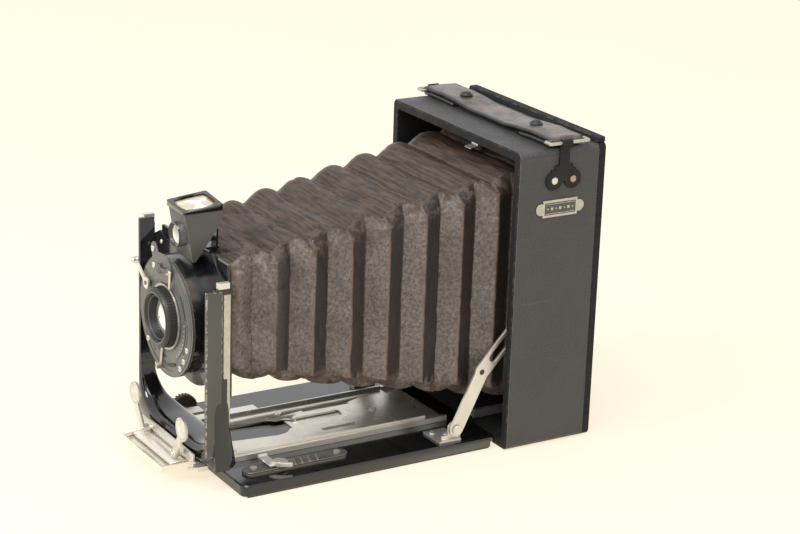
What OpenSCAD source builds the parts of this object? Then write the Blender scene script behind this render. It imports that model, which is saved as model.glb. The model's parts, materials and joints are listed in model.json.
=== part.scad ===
// Folding plate camera of the 1920s, open and racked out, with its lens facing -Y.
// Millimetres, +Z up. The origin is the centre of the underside of the body.

/* [Body] */
// Width of the body over the leather
body_w = 124; // [122:1:130]
// Depth of the body from its mouth to the back plate
body_d = 53; // [50:1:56]
// Height of the body
body_h = 160; // [158:1:166]
// Thickness of each wall of the body, with its leather
wall = 5; // [4:0.5:5.5]
// Thickness of the leather
leather_t = 0.8; // [0.5:0.1:1]
// Width of the plate window in the back
gate_w = 86; // [80:1:88]
// Height of the plate window in the back
gate_h = 118; // [110:1:120]

/* [Bed] */
// Width of the drop bed
bed_w = 110; // [108:1:111]
// Distance from the mouth to the front edge of the bed
bed_len = 148.5; // [145:0.5:152]
// Height of the top of the bed
bed_top = 6.8; // [6.6:0.1:7]
// Half the width between the walls of the fixed track
track_half = 24.3; // [24:0.1:25]

/* [Lens] */
// Height of the lens axis
lens_z = 79.9; // [79:0.1:82]
// Radius of the shutter
shutter_r = 30.6; // [29:0.1:31]
// Distance from the mouth to the front face of the shutter
lens_reach = 164; // [162:0.5:165]
// Radius of the front lens mount
cell_r = 15; // [13:0.1:15.1]
// Radius of the glass of the front lens
glass_r = 10.4; // [9:0.1:11]

/* [Bellows] */
// Half the width of the bellows at the front
bellows_front_half = 37; // [34:0.5:38]
// Half the width of the bellows at the back
bellows_back_half = 50; // [46:0.5:51]
// Thickness of the bellows
bellows_t = 1.2; // [1:0.1:2]

/* [Handle] */
// Width of the carrying strap
strap_w = 20; // [16:0.5:22]
// Thickness of the carrying strap
strap_t = 2.2; // [1.5:0.1:2.5]

/* [Hidden] */
$fn = 48;
mouth_y = -body_d / 2;
back_y = body_d / 2;
back_t = 4.5;
case_back = back_y - back_t;
inner_half = body_w / 2 - wall;
bed_front = mouth_y - bed_len;
bed_bottom = 0.7;
hinge_y = mouth_y - 2.4;
hinge_z = 2.2;
hinge_pin_r = 1;
hinge_r = 1.8;
face_y = mouth_y - lens_reach;
panel_y = mouth_y - 150.7;
panel_t = 1.6;
upright_front = mouth_y - 159;
upright_half = 43.5;
rail_front = mouth_y - 177;
rail_back = mouth_y - 26;
rail_z = 8;
knob_y = mouth_y - 131;
knob_z = 7.9;
knob_r = 7.4;
strut_x = 52;
strut_pivot = [mouth_y - 24.6, 13.4];
strut_knee = [14.4, 29.5];
strut_stud = [mouth_y + 8, 62.4];
strap_y = back_y - 24.5;
strap_z = body_h + 3.2;
snap_x = 33.5;
scale_x = 40.5;
scale_y0 = mouth_y - 137;
scale_y1 = mouth_y - 87.5;
finder_x = 9.6;
finder_w = 18;
finder_pivot = [9.6, 134];
catch_y = mouth_y - 121;
bush_r = 4.76;
flange_r = 6.5;
bush_y = mouth_y - 84;
dial_c = [-4, 104];
cock_c = [-19.4, 91.7];
release_c = [-21, 83];
grip_pivot = [18, 14.4];
bellows_gate_y = case_back - 4;
bellows_fold_y = mouth_y - 35;
bellows_rack_y = mouth_y - 70;
bellows_end_y = panel_y + panel_t + 2;

// ---- shared shapes ----

// Rectangle with round corners, centred on the origin
module round_rect(w, h, r) {
    square([w - 2 * r, h], center = true);
    square([w, h - 2 * r], center = true);
    for (sx = [-1, 1], sy = [-1, 1])
        translate([sx * (w / 2 - r), sy * (h / 2 - r)]) circle(r);
}

// A flat shape drawn as X and Z, stretched along Y from y0 to y1
module along_y(y0, y1) {
    translate([0, y1, 0]) rotate([90, 0, 0]) linear_extrude(y1 - y0) children();
}

// A flat shape drawn as Y and Z, stretched along X from x0 to x1
module along_x(x0, x1) {
    translate([x0, 0, 0]) rotate([90, 0, 90]) linear_extrude(x1 - x0) children();
}

// Block from one corner to the other
module block(a, b) {
    translate(a) cube([b[0] - a[0], b[1] - a[1], b[2] - a[2]]);
}

// Rod along X, Y or Z between two places on its own axis
module rod_x(x0, x1, y, z, r) { translate([x0, y, z]) rotate([0, 90, 0]) cylinder(h = x1 - x0, r = r); }
module rod_y(y0, y1, x, z, r) { translate([x, y1, z]) rotate([90, 0, 0]) cylinder(h = y1 - y0, r = r); }
module rod_z(z0, z1, x, y, r) { translate([x, y, z0]) cylinder(h = z1 - z0, r = r); }

// Flat bar with round ends from a to b, in its own plane
module slot_shape(a, b, r) {
    translate(a) circle(r);
    translate(b) circle(r);
    d = b - a;
    translate(a) rotate(atan2(d[1], d[0])) translate([0, -r]) square([norm(d), 2 * r]);
}

// Domed screw with a slot across its head, its head resting at the origin
module screw(r, head, shank = 0) {
    difference() {
        union() {
            cylinder(h = head, r = r);
            if (shank > 0) translate([0, 0, -shank]) cylinder(h = shank, r = r * 0.5);
        }
        translate([-r, -0.25, head - 0.35]) cube([2 * r, 0.5, 1]);
    }
}

module mirrored_x() { children(); mirror([1, 0, 0]) children(); }

// ---- body ----

module case_shell() color([0.12, 0.12, 0.12]) difference() {
    translate([0, 0, body_h / 2]) along_y(mouth_y, case_back)
        round_rect(body_w - 2 * leather_t, body_h - 2 * leather_t, 2.6);
    block([-inner_half, mouth_y - 1, wall], [inner_half, case_back - 4, body_h - wall]);
    block([-gate_w / 2, case_back - 5, (body_h - gate_h) / 2], [gate_w / 2, case_back + 1, (body_h + gate_h) / 2]);
    block([-body_w, -9.6, body_h / 2 - 5.6], [-inner_half + 1, 1.6, body_h / 2 + 5.6]);
}

module case_leather() color([0.24, 0.23, 0.23]) difference() {
    translate([0, 0, body_h / 2]) along_y(mouth_y + 0.4, case_back) round_rect(body_w, body_h, 3.4);
    translate([0, 0, body_h / 2]) along_y(mouth_y - 1, case_back + 1)
        round_rect(body_w - 2 * leather_t, body_h - 2 * leather_t, 2.6);
    rod_x(-body_w, 0, -4, body_h / 2, 6.5);
}

module back_plate() color([0.08, 0.08, 0.08]) difference() {
    union() {
        translate([0, 0, body_h / 2]) along_y(case_back, back_y) round_rect(body_w - 1, body_h, 3);
        along_x(-(body_w - 3) / 2, (body_w - 3) / 2)
            polygon([[case_back - 1.5, body_h], [back_y, body_h], [back_y - 0.3, body_h + 2.8], [case_back - 0.6, body_h + 2.8]]);
    }
    block([-gate_w / 2, case_back - 1, (body_h - gate_h) / 2], [gate_w / 2, back_y + 1, (body_h + gate_h) / 2]);
}

// Channel on the back that a plate holder or the focusing back slides down into
module holder_channel() color([0.1, 0.1, 0.1]) {
    mirrored_x() {
        block([48.6, back_y, 8], [51, back_y + 5, 155]);
        block([45.7, back_y + 3.2, 8], [49, back_y + 5, 155]);
    }
    block([-49, back_y, 8], [49, back_y + 5, 11]);
}

module focusing_back() color([0.1, 0.1, 0.1]) difference() {
    union() {
        block([-48.3, back_y + 0.3, 11.3], [48.3, back_y + 2.8, 153]);
        block([-45.2, back_y + 0.3, 14], [45.2, back_y + 6, 150]);
    }
    block([-gate_w / 2, back_y - 1, 22], [gate_w / 2, back_y + 7, 138]);
    block([-44.3, back_y + 1.5, 20], [44.3, back_y + 3.3, 140]);
    rod_x(-50, 50, back_y + 6, 142.5, 1.9);
    block([-50, back_y + 4.1, 142.5], [50, back_y + 7, 151]);
}

module ground_glass() color([0.85, 0.87, 0.86, 0.6])
    block([-44.3, back_y + 1.5, 20], [44.3, back_y + 3.1, 140]);

module hood_lid() color([0.13, 0.12, 0.12]) {
    difference() {
        union() {
            block([-44.5, back_y + 6.3, 16], [44.5, back_y + 7.5, 142.2]);
            for (k = [-1, 1]) rod_x(k * 30 - 8, k * 30 + 8, back_y + 6, 142.5, 1.6);
        }
        rod_x(-50, 50, back_y + 6, 142.5, 0.85);
    }
}

module hood_hinge_pin() color("silver") {
    rod_x(-42, 42, back_y + 6, 142.5, 0.8);
    mirrored_x() block([41, back_y + 4.1, 142.5], [42.6, back_y + 6.5, 143.2]);
}

// Tripod bush in the side wall: a round flange on a square block
module tripod_bushes() color([0.7, 0.68, 0.62]) difference() {
    union() {
        rod_x(-body_w / 2 - 0.3, -body_w / 2 + leather_t, -4, body_h / 2, flange_r);
        block([-body_w / 2 + leather_t, -9.6, body_h / 2 - 5.6], [-inner_half, 1.6, body_h / 2 + 5.6]);
    }
    rod_x(-body_w / 2 - 1, -inner_half - 1.2, -4, body_h / 2, bush_r);
}

// Leather strap that arches a little over the top and folds back under itself at each end
module carrying_strap() color([0.27, 0.22, 0.19]) {
    end_x = body_w / 2 - 3;
    z = strap_z;
    translate([0, strap_y, 0]) along_y(-strap_w / 2, strap_w / 2) difference() {
        union() {
            polygon([[-end_x, z], [-snap_x - 8, z + 0.3], [-snap_x + 12, z - 1.6], [snap_x - 12, z - 1.6],
                [snap_x + 8, z + 0.3], [end_x, z], [end_x, z + strap_t], [snap_x + 8, z + strap_t + 0.3],
                [snap_x - 12, z + strap_t - 1.6], [-snap_x + 12, z + strap_t - 1.6],
                [-snap_x - 8, z + strap_t + 0.3], [-end_x, z + strap_t]]);
            for (s = [-1, 1]) {
                translate([s * end_x, z + strap_t / 2 - 1.2]) circle(r = strap_t / 2 + 1.2);
                polygon([[s * end_x, z - 2.4], [s * (snap_x - 8), z - 2.4], [s * (snap_x - 8), z - 1.5],
                    [s * (snap_x + 8), z + 0.4], [s * end_x, z + 0.1]]);
            }
        }
        for (s = [-1, 1]) translate([s * end_x, z + strap_t / 2 - 1.2]) circle(r = 0.95);
    }
}

module strap_snaps() color([0.06, 0.06, 0.06]) for (s = [-1, 1])
    translate([s * snap_x, strap_y, strap_z + strap_t]) intersection() {
        translate([0, 0, -5.6]) sphere(r = 7);
        cylinder(h = 2, r = 4.4);
    }

// Wire loop at each end, through the strap's fold and the bracket's eye
module strap_loops() color([0.6, 0.58, 0.54]) mirrored_x() {
    end_x = body_w / 2 - 3;
    z = strap_z + strap_t / 2 - 1.2;
    rod_y(strap_y - strap_w / 2 - 1.6, strap_y + strap_w / 2 + 1.6, end_x, z, 0.9);
    for (s = [-1, 1]) rod_x(end_x, body_w / 2 + 1.6, strap_y + s * (strap_w / 2 + 1.6), z, 0.9);
    rod_y(strap_y - strap_w / 2 - 1.6, strap_y + strap_w / 2 + 1.6, body_w / 2 + 1.6, z, 0.9);
}

// Black stamped plate with two round feet, hooked over the loop
module strap_brackets() color([0.05, 0.05, 0.05]) mirrored_x() {
    x = body_w / 2;
    y = strap_y - 2;
    z = strap_z + strap_t / 2 - 1.2;
    along_x(x, x + 1) {
        translate([y - 3, 146]) square([6, z - 147]);
        for (s = [-1, 1]) translate([y + s * 5.6, 143.6]) circle(r = 5);
        translate([y - 7.5, 143]) square([15, 6]);
        translate([y - 5.5, 148]) square([11, 3.4]);
    }
    difference() {
        rod_y(y - 3, y + 3, x + 1.6, z, 1.9);
        rod_y(y - 4, y + 4, x + 1.6, z, 0.95);
        block([x - 2, y - 4, z - 3], [x, y + 4, z + 3]);
    }
}

module strap_rivets() color([0.55, 0.5, 0.46]) mirrored_x() for (s = [-1, 1])
    rod_x(body_w / 2 + 1, body_w / 2 + 1.7, strap_y - 2 + s * 5.6, 143.6, 1.9);

// Small blank ornament plate on the side
module side_nameplate() color([0.75, 0.72, 0.62])
    along_x(body_w / 2, body_w / 2 + 0.6) translate([strap_y - 3, 129]) {
        square([21, 9], center = true);
        square([26, 4.6], center = true);
        for (s = [-1, 1]) translate([s * 11.5, 0]) circle(r = 3.1);
    }

// Pair of short rails on the floor of the body, in line with the rails of the bed
module body_rails() color([0.7, 0.68, 0.62]) mirrored_x() {
    block([track_half, mouth_y + 3, wall], [track_half + 2, case_back - 8, 9.6]);
    block([track_half - 3, mouth_y + 3, wall], [track_half, case_back - 8, wall + 1]);
}

// Stud on each side wall that the slot of a strut slides along
module strut_studs() color("silver") mirrored_x() {
    rod_x(strut_x + 1.6, inner_half, strut_stud[0], strut_stud[1], 4);
    rod_x(strut_x - 1.2, strut_x + 1.6, strut_stud[0], strut_stud[1], 1.9);
    rod_x(strut_x - 2.2, strut_x - 1.2, strut_stud[0], strut_stud[1], 3.4);
}

// Bent nickel hook under the roof of the mouth
module bellows_hook() color([0.7, 0.65, 0.6])
    along_x(-3, 3) polygon([[mouth_y + 14, body_h - wall], [mouth_y + 14, 147], [mouth_y + 9, 146.2],
        [mouth_y + 9, 147], [mouth_y + 13.2, 147.8], [mouth_y + 13.2, body_h - wall]]);

knuckle_n = 11;
knuckle_w = 9;
function knuckle_x(k) = (k - (knuckle_n - 1) / 2) * knuckle_w;

module knuckle(k, bore) difference() {
    rod_x(knuckle_x(k) - knuckle_w / 2 + 0.2, knuckle_x(k) + knuckle_w / 2 - 0.2, hinge_y, hinge_z, hinge_r);
    rod_x(knuckle_x(k) - knuckle_w, knuckle_x(k) + knuckle_w, hinge_y, hinge_z, bore);
}

module hinge_leaf_body() color([0.45, 0.43, 0.4]) for (k = [0:2:knuckle_n - 1]) {
    knuckle(k, hinge_pin_r);
    block([knuckle_x(k) - knuckle_w / 2 + 0.2, hinge_y + 1.5, 0.7],
        [knuckle_x(k) + knuckle_w / 2 - 0.2, mouth_y, 3.9]);
}

module hinge_pin() color("silver") rod_x(-knuckle_w * knuckle_n / 2, knuckle_w * knuckle_n / 2, hinge_y, hinge_z, hinge_pin_r);

// ---- bellows ----

// Half width, bottom and top of the bellows at a place along it
function bellows_t_at(y) = (y - bellows_gate_y) / (bellows_end_y - bellows_gate_y);
function bellows_half(y) = bellows_back_half + (bellows_front_half - bellows_back_half) * bellows_t_at(y);
function bellows_low(y) = 15 + (46 - 15) * bellows_t_at(y);
function bellows_high(y) = 150.5 + (115 - 150.5) * bellows_t_at(y);

module bellows_plate(y, inset) {
    h = bellows_half(y) - inset;
    block([-h, y - 0.01, bellows_low(y) + inset], [h, y + 0.01, bellows_high(y) - inset]);
}

module bellows_section(y0, y1) color([0.33, 0.28, 0.25]) difference() {
    hull() { bellows_plate(y0 + 0.01, 0); bellows_plate(y1 - 0.01, 0); }
    hull() { bellows_plate(y0 - 0.5, bellows_t); bellows_plate(y1 + 0.5, bellows_t); }
}

module bellows_rear() bellows_section(bellows_fold_y, bellows_gate_y);
module bellows_middle() bellows_section(bellows_rack_y, bellows_fold_y);
module bellows_front() bellows_section(bellows_end_y, bellows_rack_y);

module bellows_front_frame() color([0.08, 0.08, 0.08]) difference() {
    block([-bellows_front_half, panel_y + panel_t, 46], [bellows_front_half, bellows_end_y, 115]);
    block([-bellows_front_half + 5, panel_y, 51], [bellows_front_half - 5, bellows_end_y + 1, 110]);
}

// ---- bed ----

module drop_bed() color([0.07, 0.07, 0.07]) difference() {
    union() {
        block([-bed_w / 2, bed_front + 4, bed_bottom], [bed_w / 2, hinge_y - 2.2, bed_top]);
        block([-bed_w / 2 + 4, bed_front, bed_bottom], [bed_w / 2 - 4, bed_front + 5, bed_top]);
        for (s = [-1, 1]) rod_z(bed_bottom, bed_top, s * (bed_w / 2 - 4), bed_front + 4, 4);
        block([-bed_w / 2, hinge_y - 3, 4.4], [bed_w / 2, hinge_y, bed_top]);
    }
    // notch for the focusing knob, and a pocket for its pinion and shaft
    block([-bed_w, knob_y - knob_r - 0.8, -1], [-46, knob_y + knob_r + 0.8, bed_top + 1]);
    block([-47, knob_y - 2.6, 4.8], [-24, knob_y + 2.6, bed_top + 1]);
    rod_z(-1, 4.4, 0, bush_y, 6.5);
}

module bed_leather() color([0.2, 0.19, 0.19]) difference() {
    block([-bed_w / 2 + 0.6, bed_front + 3, 0.1], [bed_w / 2 - 0.6, hinge_y - 3, bed_bottom]);
    block([-bed_w, knob_y - knob_r - 1.5, -1], [-45, knob_y + knob_r + 1.5, 2]);
    rod_z(-1, 2, 0, bush_y, flange_r + 0.1);
}

module hinge_leaf_bed() color([0.45, 0.43, 0.4]) for (k = [1:2:knuckle_n - 1]) {
    knuckle(k, hinge_pin_r + 0.05);
    block([knuckle_x(k) - knuckle_w / 2 + 0.2, hinge_y - 2.2, 0.7],
        [knuckle_x(k) + knuckle_w / 2 - 0.2, hinge_y - 1.5, 3.9]);
}

module bed_bush() color([0.7, 0.68, 0.62]) difference() {
    rod_z(0.3, 4.4, 0, bush_y, flange_r);
    rod_z(-1, 4, 0, bush_y, bush_r);
}

// Fixed track: a floor plate with a wall along each side
module fixed_track() color([0.72, 0.68, 0.6]) difference() {
    union() {
        block([-track_half - 2, bed_front + 2, bed_top], [track_half + 2, mouth_y - 14, bed_top + 0.8]);
        mirrored_x() block([track_half, bed_front + 2, bed_top], [track_half + 2, mouth_y - 14, 9.8]);
    }
    block([-15, mouth_y - 135, bed_top - 1], [15, mouth_y - 92, bed_top + 2]);
    block([-track_half - 3, knob_y - 2.6, bed_top - 1], [-track_half - 0.9, knob_y + 2.6, bed_top + 2]);
}

// Bracket foot under each strut, with the stud that the strut turns on
module strut_feet() color([0.72, 0.66, 0.58]) mirrored_x() {
    y = strut_pivot[0];
    block([36, y - 10, bed_top], [strut_x + 0.6, y + 3, bed_top + 1.2]);
    difference() {
        along_x(strut_x - 3, strut_x - 1.8) {
            translate([y - 7, bed_top]) square([11, 3]);
            slot_shape([y, 9], [y, strut_pivot[1]], 3.6);
        }
        block([0, y - 20, -5], [60, y + 20, bed_top]);
    }
    rod_x(strut_x - 1.8, strut_x + 1.6, y, strut_pivot[1], 1.6);
    rod_x(strut_x + 1.1, strut_x + 1.9, y, strut_pivot[1], 2.6);
}

// Screws that hold the strut feet and the distance scale to the bed
module bed_screws() color("silver") {
    mirrored_x() for (p = [[40, -7], [44.5, -1]])
        translate([p[0], strut_pivot[0] + p[1], bed_top + 1.2]) screw(1.7, 0.8);
    for (y = [scale_y0 + 1.5, scale_y1 - 1]) translate([scale_x, y, bed_top + 1.5]) screw(1.8, 0.9);
}

// Distance scale: dark plate with round ends and raised division lines
module distance_scale() color([0.2, 0.19, 0.18]) {
    translate([0, 0, bed_top]) linear_extrude(1.5) slot_shape([scale_x, scale_y0], [scale_x, scale_y1], 4.5);
    for (k = [0:6]) translate([scale_x - 2.6, scale_y1 - 12 - 4.6 * k * (1 - 0.03 * k), bed_top + 1.5])
        rotate([0, 0, -18]) cube([7, 0.5, 0.3]);
    rod_z(bed_top + 1.5, bed_top + 3.6, scale_x, catch_y, 0.9);
}

// Thumb catch that drops in front of the rail when the focus is set
module focus_catch() color([0.72, 0.68, 0.62]) {
    y = catch_y;
    difference() {
        union() {
            block([31, y - 7, 8.9], [43.8, y - 2, 9.7]);
            rod_z(8.9, 9.7, scale_x, y, 4.2);
        }
        rod_z(8, 10, scale_x, y, 0.95);
    }
    block([30.2, y - 7, 8.9], [31, y - 2, 10.8]);
    difference() {
        rod_z(8.9, 11.2, scale_x - 6, y + 6, 14);
        rod_z(8, 12, scale_x - 6, y + 6, 13);
        block([0, y - 30, 8], [scale_x + 0.5, y + 60, 12]);
        block([0, y + 3.4, 8], [80, y + 60, 12]);
    }
}

module pinion_bearing() color([0.72, 0.68, 0.6]) difference() {
    union() {
        block([-45.5, knob_y - 5, bed_top], [-31, knob_y - 2.6, bed_top + 1]);
        block([-45.5, knob_y + 2.6, bed_top], [-31, knob_y + 5, bed_top + 1]);
        block([-42, knob_y - 5, bed_top], [-34, knob_y + 5, bed_top + 3.6]);
        block([-42, knob_y - 2.4, 5], [-34, knob_y + 2.4, bed_top + 1]);
    }
    rod_x(-50, -20, knob_y, knob_z, 1.25);
}

// ---- struts ----

// Dog-leg strut in the plane x0..x1: a lower arm, a knee with its keyhole and a slotted upper arm
module strut_plate(x0, x1) {
    reach = 36;
    slot_dir = [cos(47), sin(47)];
    p = strut_pivot;
    knee = p + strut_knee;
    along_x(x0, x1) difference() {
        union() {
            slot_shape(p, knee, 3.9);
            slot_shape(knee, knee + slot_dir * reach, 4.3);
        }
        translate(p) circle(r = 1.65);
        slot_shape(knee + slot_dir * 9, knee + slot_dir * 31, 2.35);
        translate(knee - slot_dir * 0.5) circle(r = 1.5);
    }
}

module strut_right() color([0.74, 0.68, 0.6]) strut_plate(strut_x - 0.7, strut_x + 0.7);
module strut_left() color([0.74, 0.68, 0.6]) mirror([1, 0, 0]) strut_plate(strut_x - 0.7, strut_x + 0.7);

// ---- focusing drive ----

module focus_knob() color([0.3, 0.24, 0.18]) difference() {
    union() {
        rod_x(-51, -47.4, knob_y, knob_z, knob_r - 0.7);
        for (k = [0:23]) translate([-51, knob_y, knob_z]) rotate([k * 15, 0, 0])
            translate([0, -0.45, knob_r - 1.2]) cube([3.6, 0.9, 1.2]);
    }
    rod_x(-52, -46, knob_y, knob_z, 1.2);
    rod_x(-51.5, -50.2, knob_y, knob_z, 4.6);
}

module pinion_shaft() color("silver") {
    rod_x(-51, -26.7, knob_y, knob_z, 1.2);
    rod_x(-29.8, -26.7, knob_y, knob_z, 1.9);
}

// Sliding rail: a flat nickel plate with cut-outs, raised lips and a rack flange
module sliding_rail() color([0.78, 0.74, 0.66]) {
    half = track_half - 0.4;
    difference() {
        union() {
            block([-half, rail_front, rail_z], [half, rail_back, rail_z + 1]);
            mirrored_x() block([half - 1, rail_front, rail_z], [half, rail_back, 11]);
            block([-29.6, mouth_y - 165, 10.2], [-half, mouth_y - 100, 11]);
            block([-half, rail_front - 0.8, rail_z], [half, rail_front, 11]);
        }
        // long open window with waisted ends
        translate([0, 0, rail_z - 1]) linear_extrude(3) union() {
            slot_shape([-5, mouth_y - 128], [-2, mouth_y - 105], 11);
            slot_shape([-3, mouth_y - 110], [-3, mouth_y - 93], 6.5);
            translate([-8, mouth_y - 87]) square([7, 26]);
        }
        translate([0, 0, rail_z - 1]) linear_extrude(3) union() {
            slot_shape([-14, mouth_y - 78], [-14, mouth_y - 52], 1.1);
            slot_shape([12.5, mouth_y - 80], [12.5, mouth_y - 62], 1.4);
        }
    }
}

module rail_screws() color("silver") for (p = [[19, -136], [-19, -136], [-16, -92], [0, -44]])
    translate([p[0], mouth_y + p[1], rail_z + 1]) screw(1.8, 0.8);

// ---- carriage ----

module carriage_base() color([0.7, 0.66, 0.58]) {
    block([-22.4, mouth_y - 172, 10.1], [22.4, mouth_y - 145, 11.5]);
    block([-30, mouth_y - 162, 11.5], [30, mouth_y - 146, 12.6]);
}

// Cross bar with the pins of the grips, and the pointed plate at the right that shows the distance
module carriage_plates() color([0.75, 0.71, 0.62]) {
    block([-30, mouth_y - 163.6, 13.2], [30, mouth_y - 162.6, 17.2]);
    mirrored_x() {
        block([22, mouth_y - 163.6, 11.5], [27, mouth_y - 162.6, 13.2]);
        rod_y(mouth_y - 170, mouth_y - 163, grip_pivot[0], grip_pivot[1], 1);
    }
    translate([0, mouth_y, 11.5]) linear_extrude(1)
        polygon([[30, -163], [34, -169], [35.6, -163], [35.6, -152], [38, -146], [34, -149.5], [30, -152]]);
    block([34, mouth_y - 163, 10.1], [35.6, mouth_y - 158, 11.5]);
}

// Finger grip: a bent strip that ends in a round pad
module grip_arm(side) {
    y = mouth_y - 169;
    difference() {
        union() {
            along_y(y, y + 1.1) {
                polygon([[side * 15.5, 13], [side * 20.5, 13], [side * 27, 22], [side * 27.4, 27],
                    [side * 24.6, 27], [side * 19.5, 20]]);
                translate([side * 27.4, 30.5]) circle(r = 6);
            }
            rod_y(y - 0.2, y + 3.2, side * grip_pivot[0], grip_pivot[1], 2.1);
        }
        rod_y(y - 2, y + 5, side * grip_pivot[0], grip_pivot[1], 1.05);
    }
}

module grip_left() color([0.75, 0.71, 0.62]) grip_arm(-1);
module grip_right() color([0.75, 0.71, 0.62]) grip_arm(1);

// U-shaped standard: two uprights on a wide cast foot
module lens_standard() color([0.06, 0.06, 0.07]) {
    y0 = upright_front;
    y1 = upright_front + 8;
    foot_r = 26;
    for (s = [-1, 1]) {
        block([min(s * 41.5, s * upright_half), y0, 20], [max(s * 41.5, s * upright_half), y1, s < 0 ? 118 : 106]);
        along_y(y0, y1) difference() {
            polygon([[s * 45.5, 12.6], [s * 45.5, 16], [s * upright_half, 30], [s * upright_half, 42],
                [s * 41.5, 42], [s * 14, 15], [s * 14, 12.6]]);
            translate([s * (41.5 - foot_r), 15 + foot_r]) circle(r = foot_r);
        }
    }
    block([-14, y0, 12.6], [14, y1, 15]);
}

module standard_clips() color([0.72, 0.68, 0.6]) {
    block([41.2, upright_front + 2, 106], [44, upright_front + 8, 109]);
    block([-44, upright_front + 2, 118], [-41.2, upright_front + 8, 120]);
}

// ---- lens panel and shutter ----

module lens_panel() color([0.07, 0.07, 0.07])
    along_y(panel_y, panel_y + panel_t) difference() {
        union() {
            polygon([[-43, 50], [43, 50], [43, 104], [38, 107], [31, 110], [22, 117], [-4, 117],
                [-12, 112], [-28, 110], [-36, 112.5], [-43, 109]]);
            translate([0, lens_z - 2]) circle(r = 35);
        }
        translate([0, lens_z]) circle(r = 15.4);
    }

// Bent bracket on the top of the lens panel, with the pin that the finder swings on
module finder_bracket() color([0.1, 0.1, 0.1]) {
    block([finder_pivot[0] - 4, panel_y + panel_t, 116.2], [finder_pivot[0] + 4, mouth_y - 141.9, 117.4]);
    along_y(mouth_y - 142.9, mouth_y - 141.9) slot_shape([finder_pivot[0], 119], finder_pivot, 3);
    rod_y(mouth_y - 144.6, mouth_y - 142.9, finder_pivot[0], finder_pivot[1], 1);
}

module shutter_case() color([0.08, 0.08, 0.09]) {
    difference() {
        rod_y(face_y + 1.2, panel_y, 0, lens_z, shutter_r);
        rod_y(face_y + 1, panel_y - 2, 0, lens_z, shutter_r - 2.2);
        rod_y(panel_y - 3, panel_y + 1, 0, lens_z, 14);
        block([-40, face_y + 3, lens_z - 4], [-26, face_y + 5, lens_z + 14]);
    }
    rod_y(face_y + 1.2, panel_y - 2, release_c[0], release_c[1], 1.2);
}

module shutter_face() color([0.25, 0.25, 0.25]) {
    difference() {
        rod_y(face_y, face_y + 1.2, 0, lens_z, shutter_r);
        rod_y(face_y - 1, face_y + 2, 0, lens_z, 15.1);
        for (a = [15, 75, 140]) translate([0, face_y, lens_z]) rotate([0, a, 0])
            along_y(-1, 0.5) intersection() {
                difference() { circle(r = 25.5); circle(r = 23.5); }
                polygon([[0, 0], [30, -12], [30, 12]]);
            }
    }
    // cover plate of the speed dial, and the pins of the two levers
    along_y(face_y - 0.9, face_y - 0.1) {
        slot_shape([dial_c[0] - 4, dial_c[1]], [dial_c[0] + 4.5, dial_c[1] + 0.5], 7);
        slot_shape([dial_c[0] - 4.5, dial_c[1] + 1], [dial_c[0] - 8.3, dial_c[1] + 7.6], 3.4);
    }
    rod_y(face_y - 0.5, face_y + 0.3, dial_c[0], dial_c[1], 5);
    rod_y(face_y - 2.9, face_y - 0.5, dial_c[0], dial_c[1], 1);
    rod_y(face_y - 2.6, face_y + 0.4, cock_c[0], cock_c[1], 1);
}

module shutter_screws() color("silver") {
    for (p = [[-11.3, 103.4, 0.9], [4.3, 104.2, 0.9], [-12.3, 111.6, 0.9],
            [21, 63, 0], [24.5, 70, 0], [-20, 62, 0], [17, 58, 0]])
        translate([p[0], face_y - p[2], p[1]]) rotate([90, 0, 0]) screw(1.5, 0.8);
}

module front_cell() color([0.07, 0.07, 0.07]) difference() {
    union() {
        rod_y(face_y - 6, panel_y - 5, 0, lens_z, cell_r - 2);
        translate([0, face_y - 6, lens_z]) rotate([-90, 0, 0]) rotate_extrude()
            polygon([[9, 0], [cell_r - 1, 0], [cell_r, 1.2], [cell_r, 6], [9, 6]]);
    }
    rod_y(face_y - 2, panel_y, 0, lens_z, glass_r);
    translate([0, face_y - 6.1, lens_z]) rotate([-90, 0, 0]) cylinder(h = 4.2, r1 = 12.4, r2 = glass_r);
}

module front_glass() color([0.7, 0.8, 0.85, 0.4]) {
    bow = 19;
    translate([0, face_y - 3.4, lens_z]) rotate([-90, 0, 0]) rotate_extrude() intersection() {
        square([glass_r, 4.4]);
        translate([0, bow]) circle(r = bow);
    }
}

module rear_cell() color([0.07, 0.07, 0.07]) difference() {
    rod_y(panel_y - 2, panel_y + 8, 0, lens_z, 13.6);
    rod_y(panel_y - 3, panel_y + 9, 0, lens_z, 11);
}

// Iris and shutter leaves, shown as stacked thin discs with the open aperture
module iris_blades() color([0.15, 0.15, 0.16]) difference() {
    rod_y(panel_y - 4.4, panel_y - 3.2, 0, lens_z, 19);
    rod_y(panel_y - 5, panel_y, 0, lens_z, 9);
}

module speed_lever() color([0.78, 0.74, 0.68]) {
    y = face_y - 2.6;
    difference() {
        along_y(y, y + 0.7) {
            translate(dial_c) circle(r = 2.6);
            slot_shape(dial_c, [9.4, 105.5], 0.9);
            slot_shape([9.4, 105.5], [8.6, 97.5], 0.9);
        }
        rod_y(y - 1, y + 2, dial_c[0], dial_c[1], 1.05);
    }
}

// Ring round the front lens mount with the pointer of the aperture
module aperture_lever() color([0.5, 0.48, 0.45]) {
    difference() {
        along_y(face_y - 1, face_y - 0.2) {
            translate([0, lens_z]) circle(r = 16.7);
            translate([0, lens_z]) rotate(-100) translate([16, -1]) square([13, 2]);
        }
        rod_y(face_y - 2, face_y + 1, 0, lens_z, 15.4);
    }
    translate([0, 0, lens_z]) rotate([0, 100, 0]) block([26.6, face_y - 3.2, -1], [29, face_y - 0.6, 1]);
}

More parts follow.
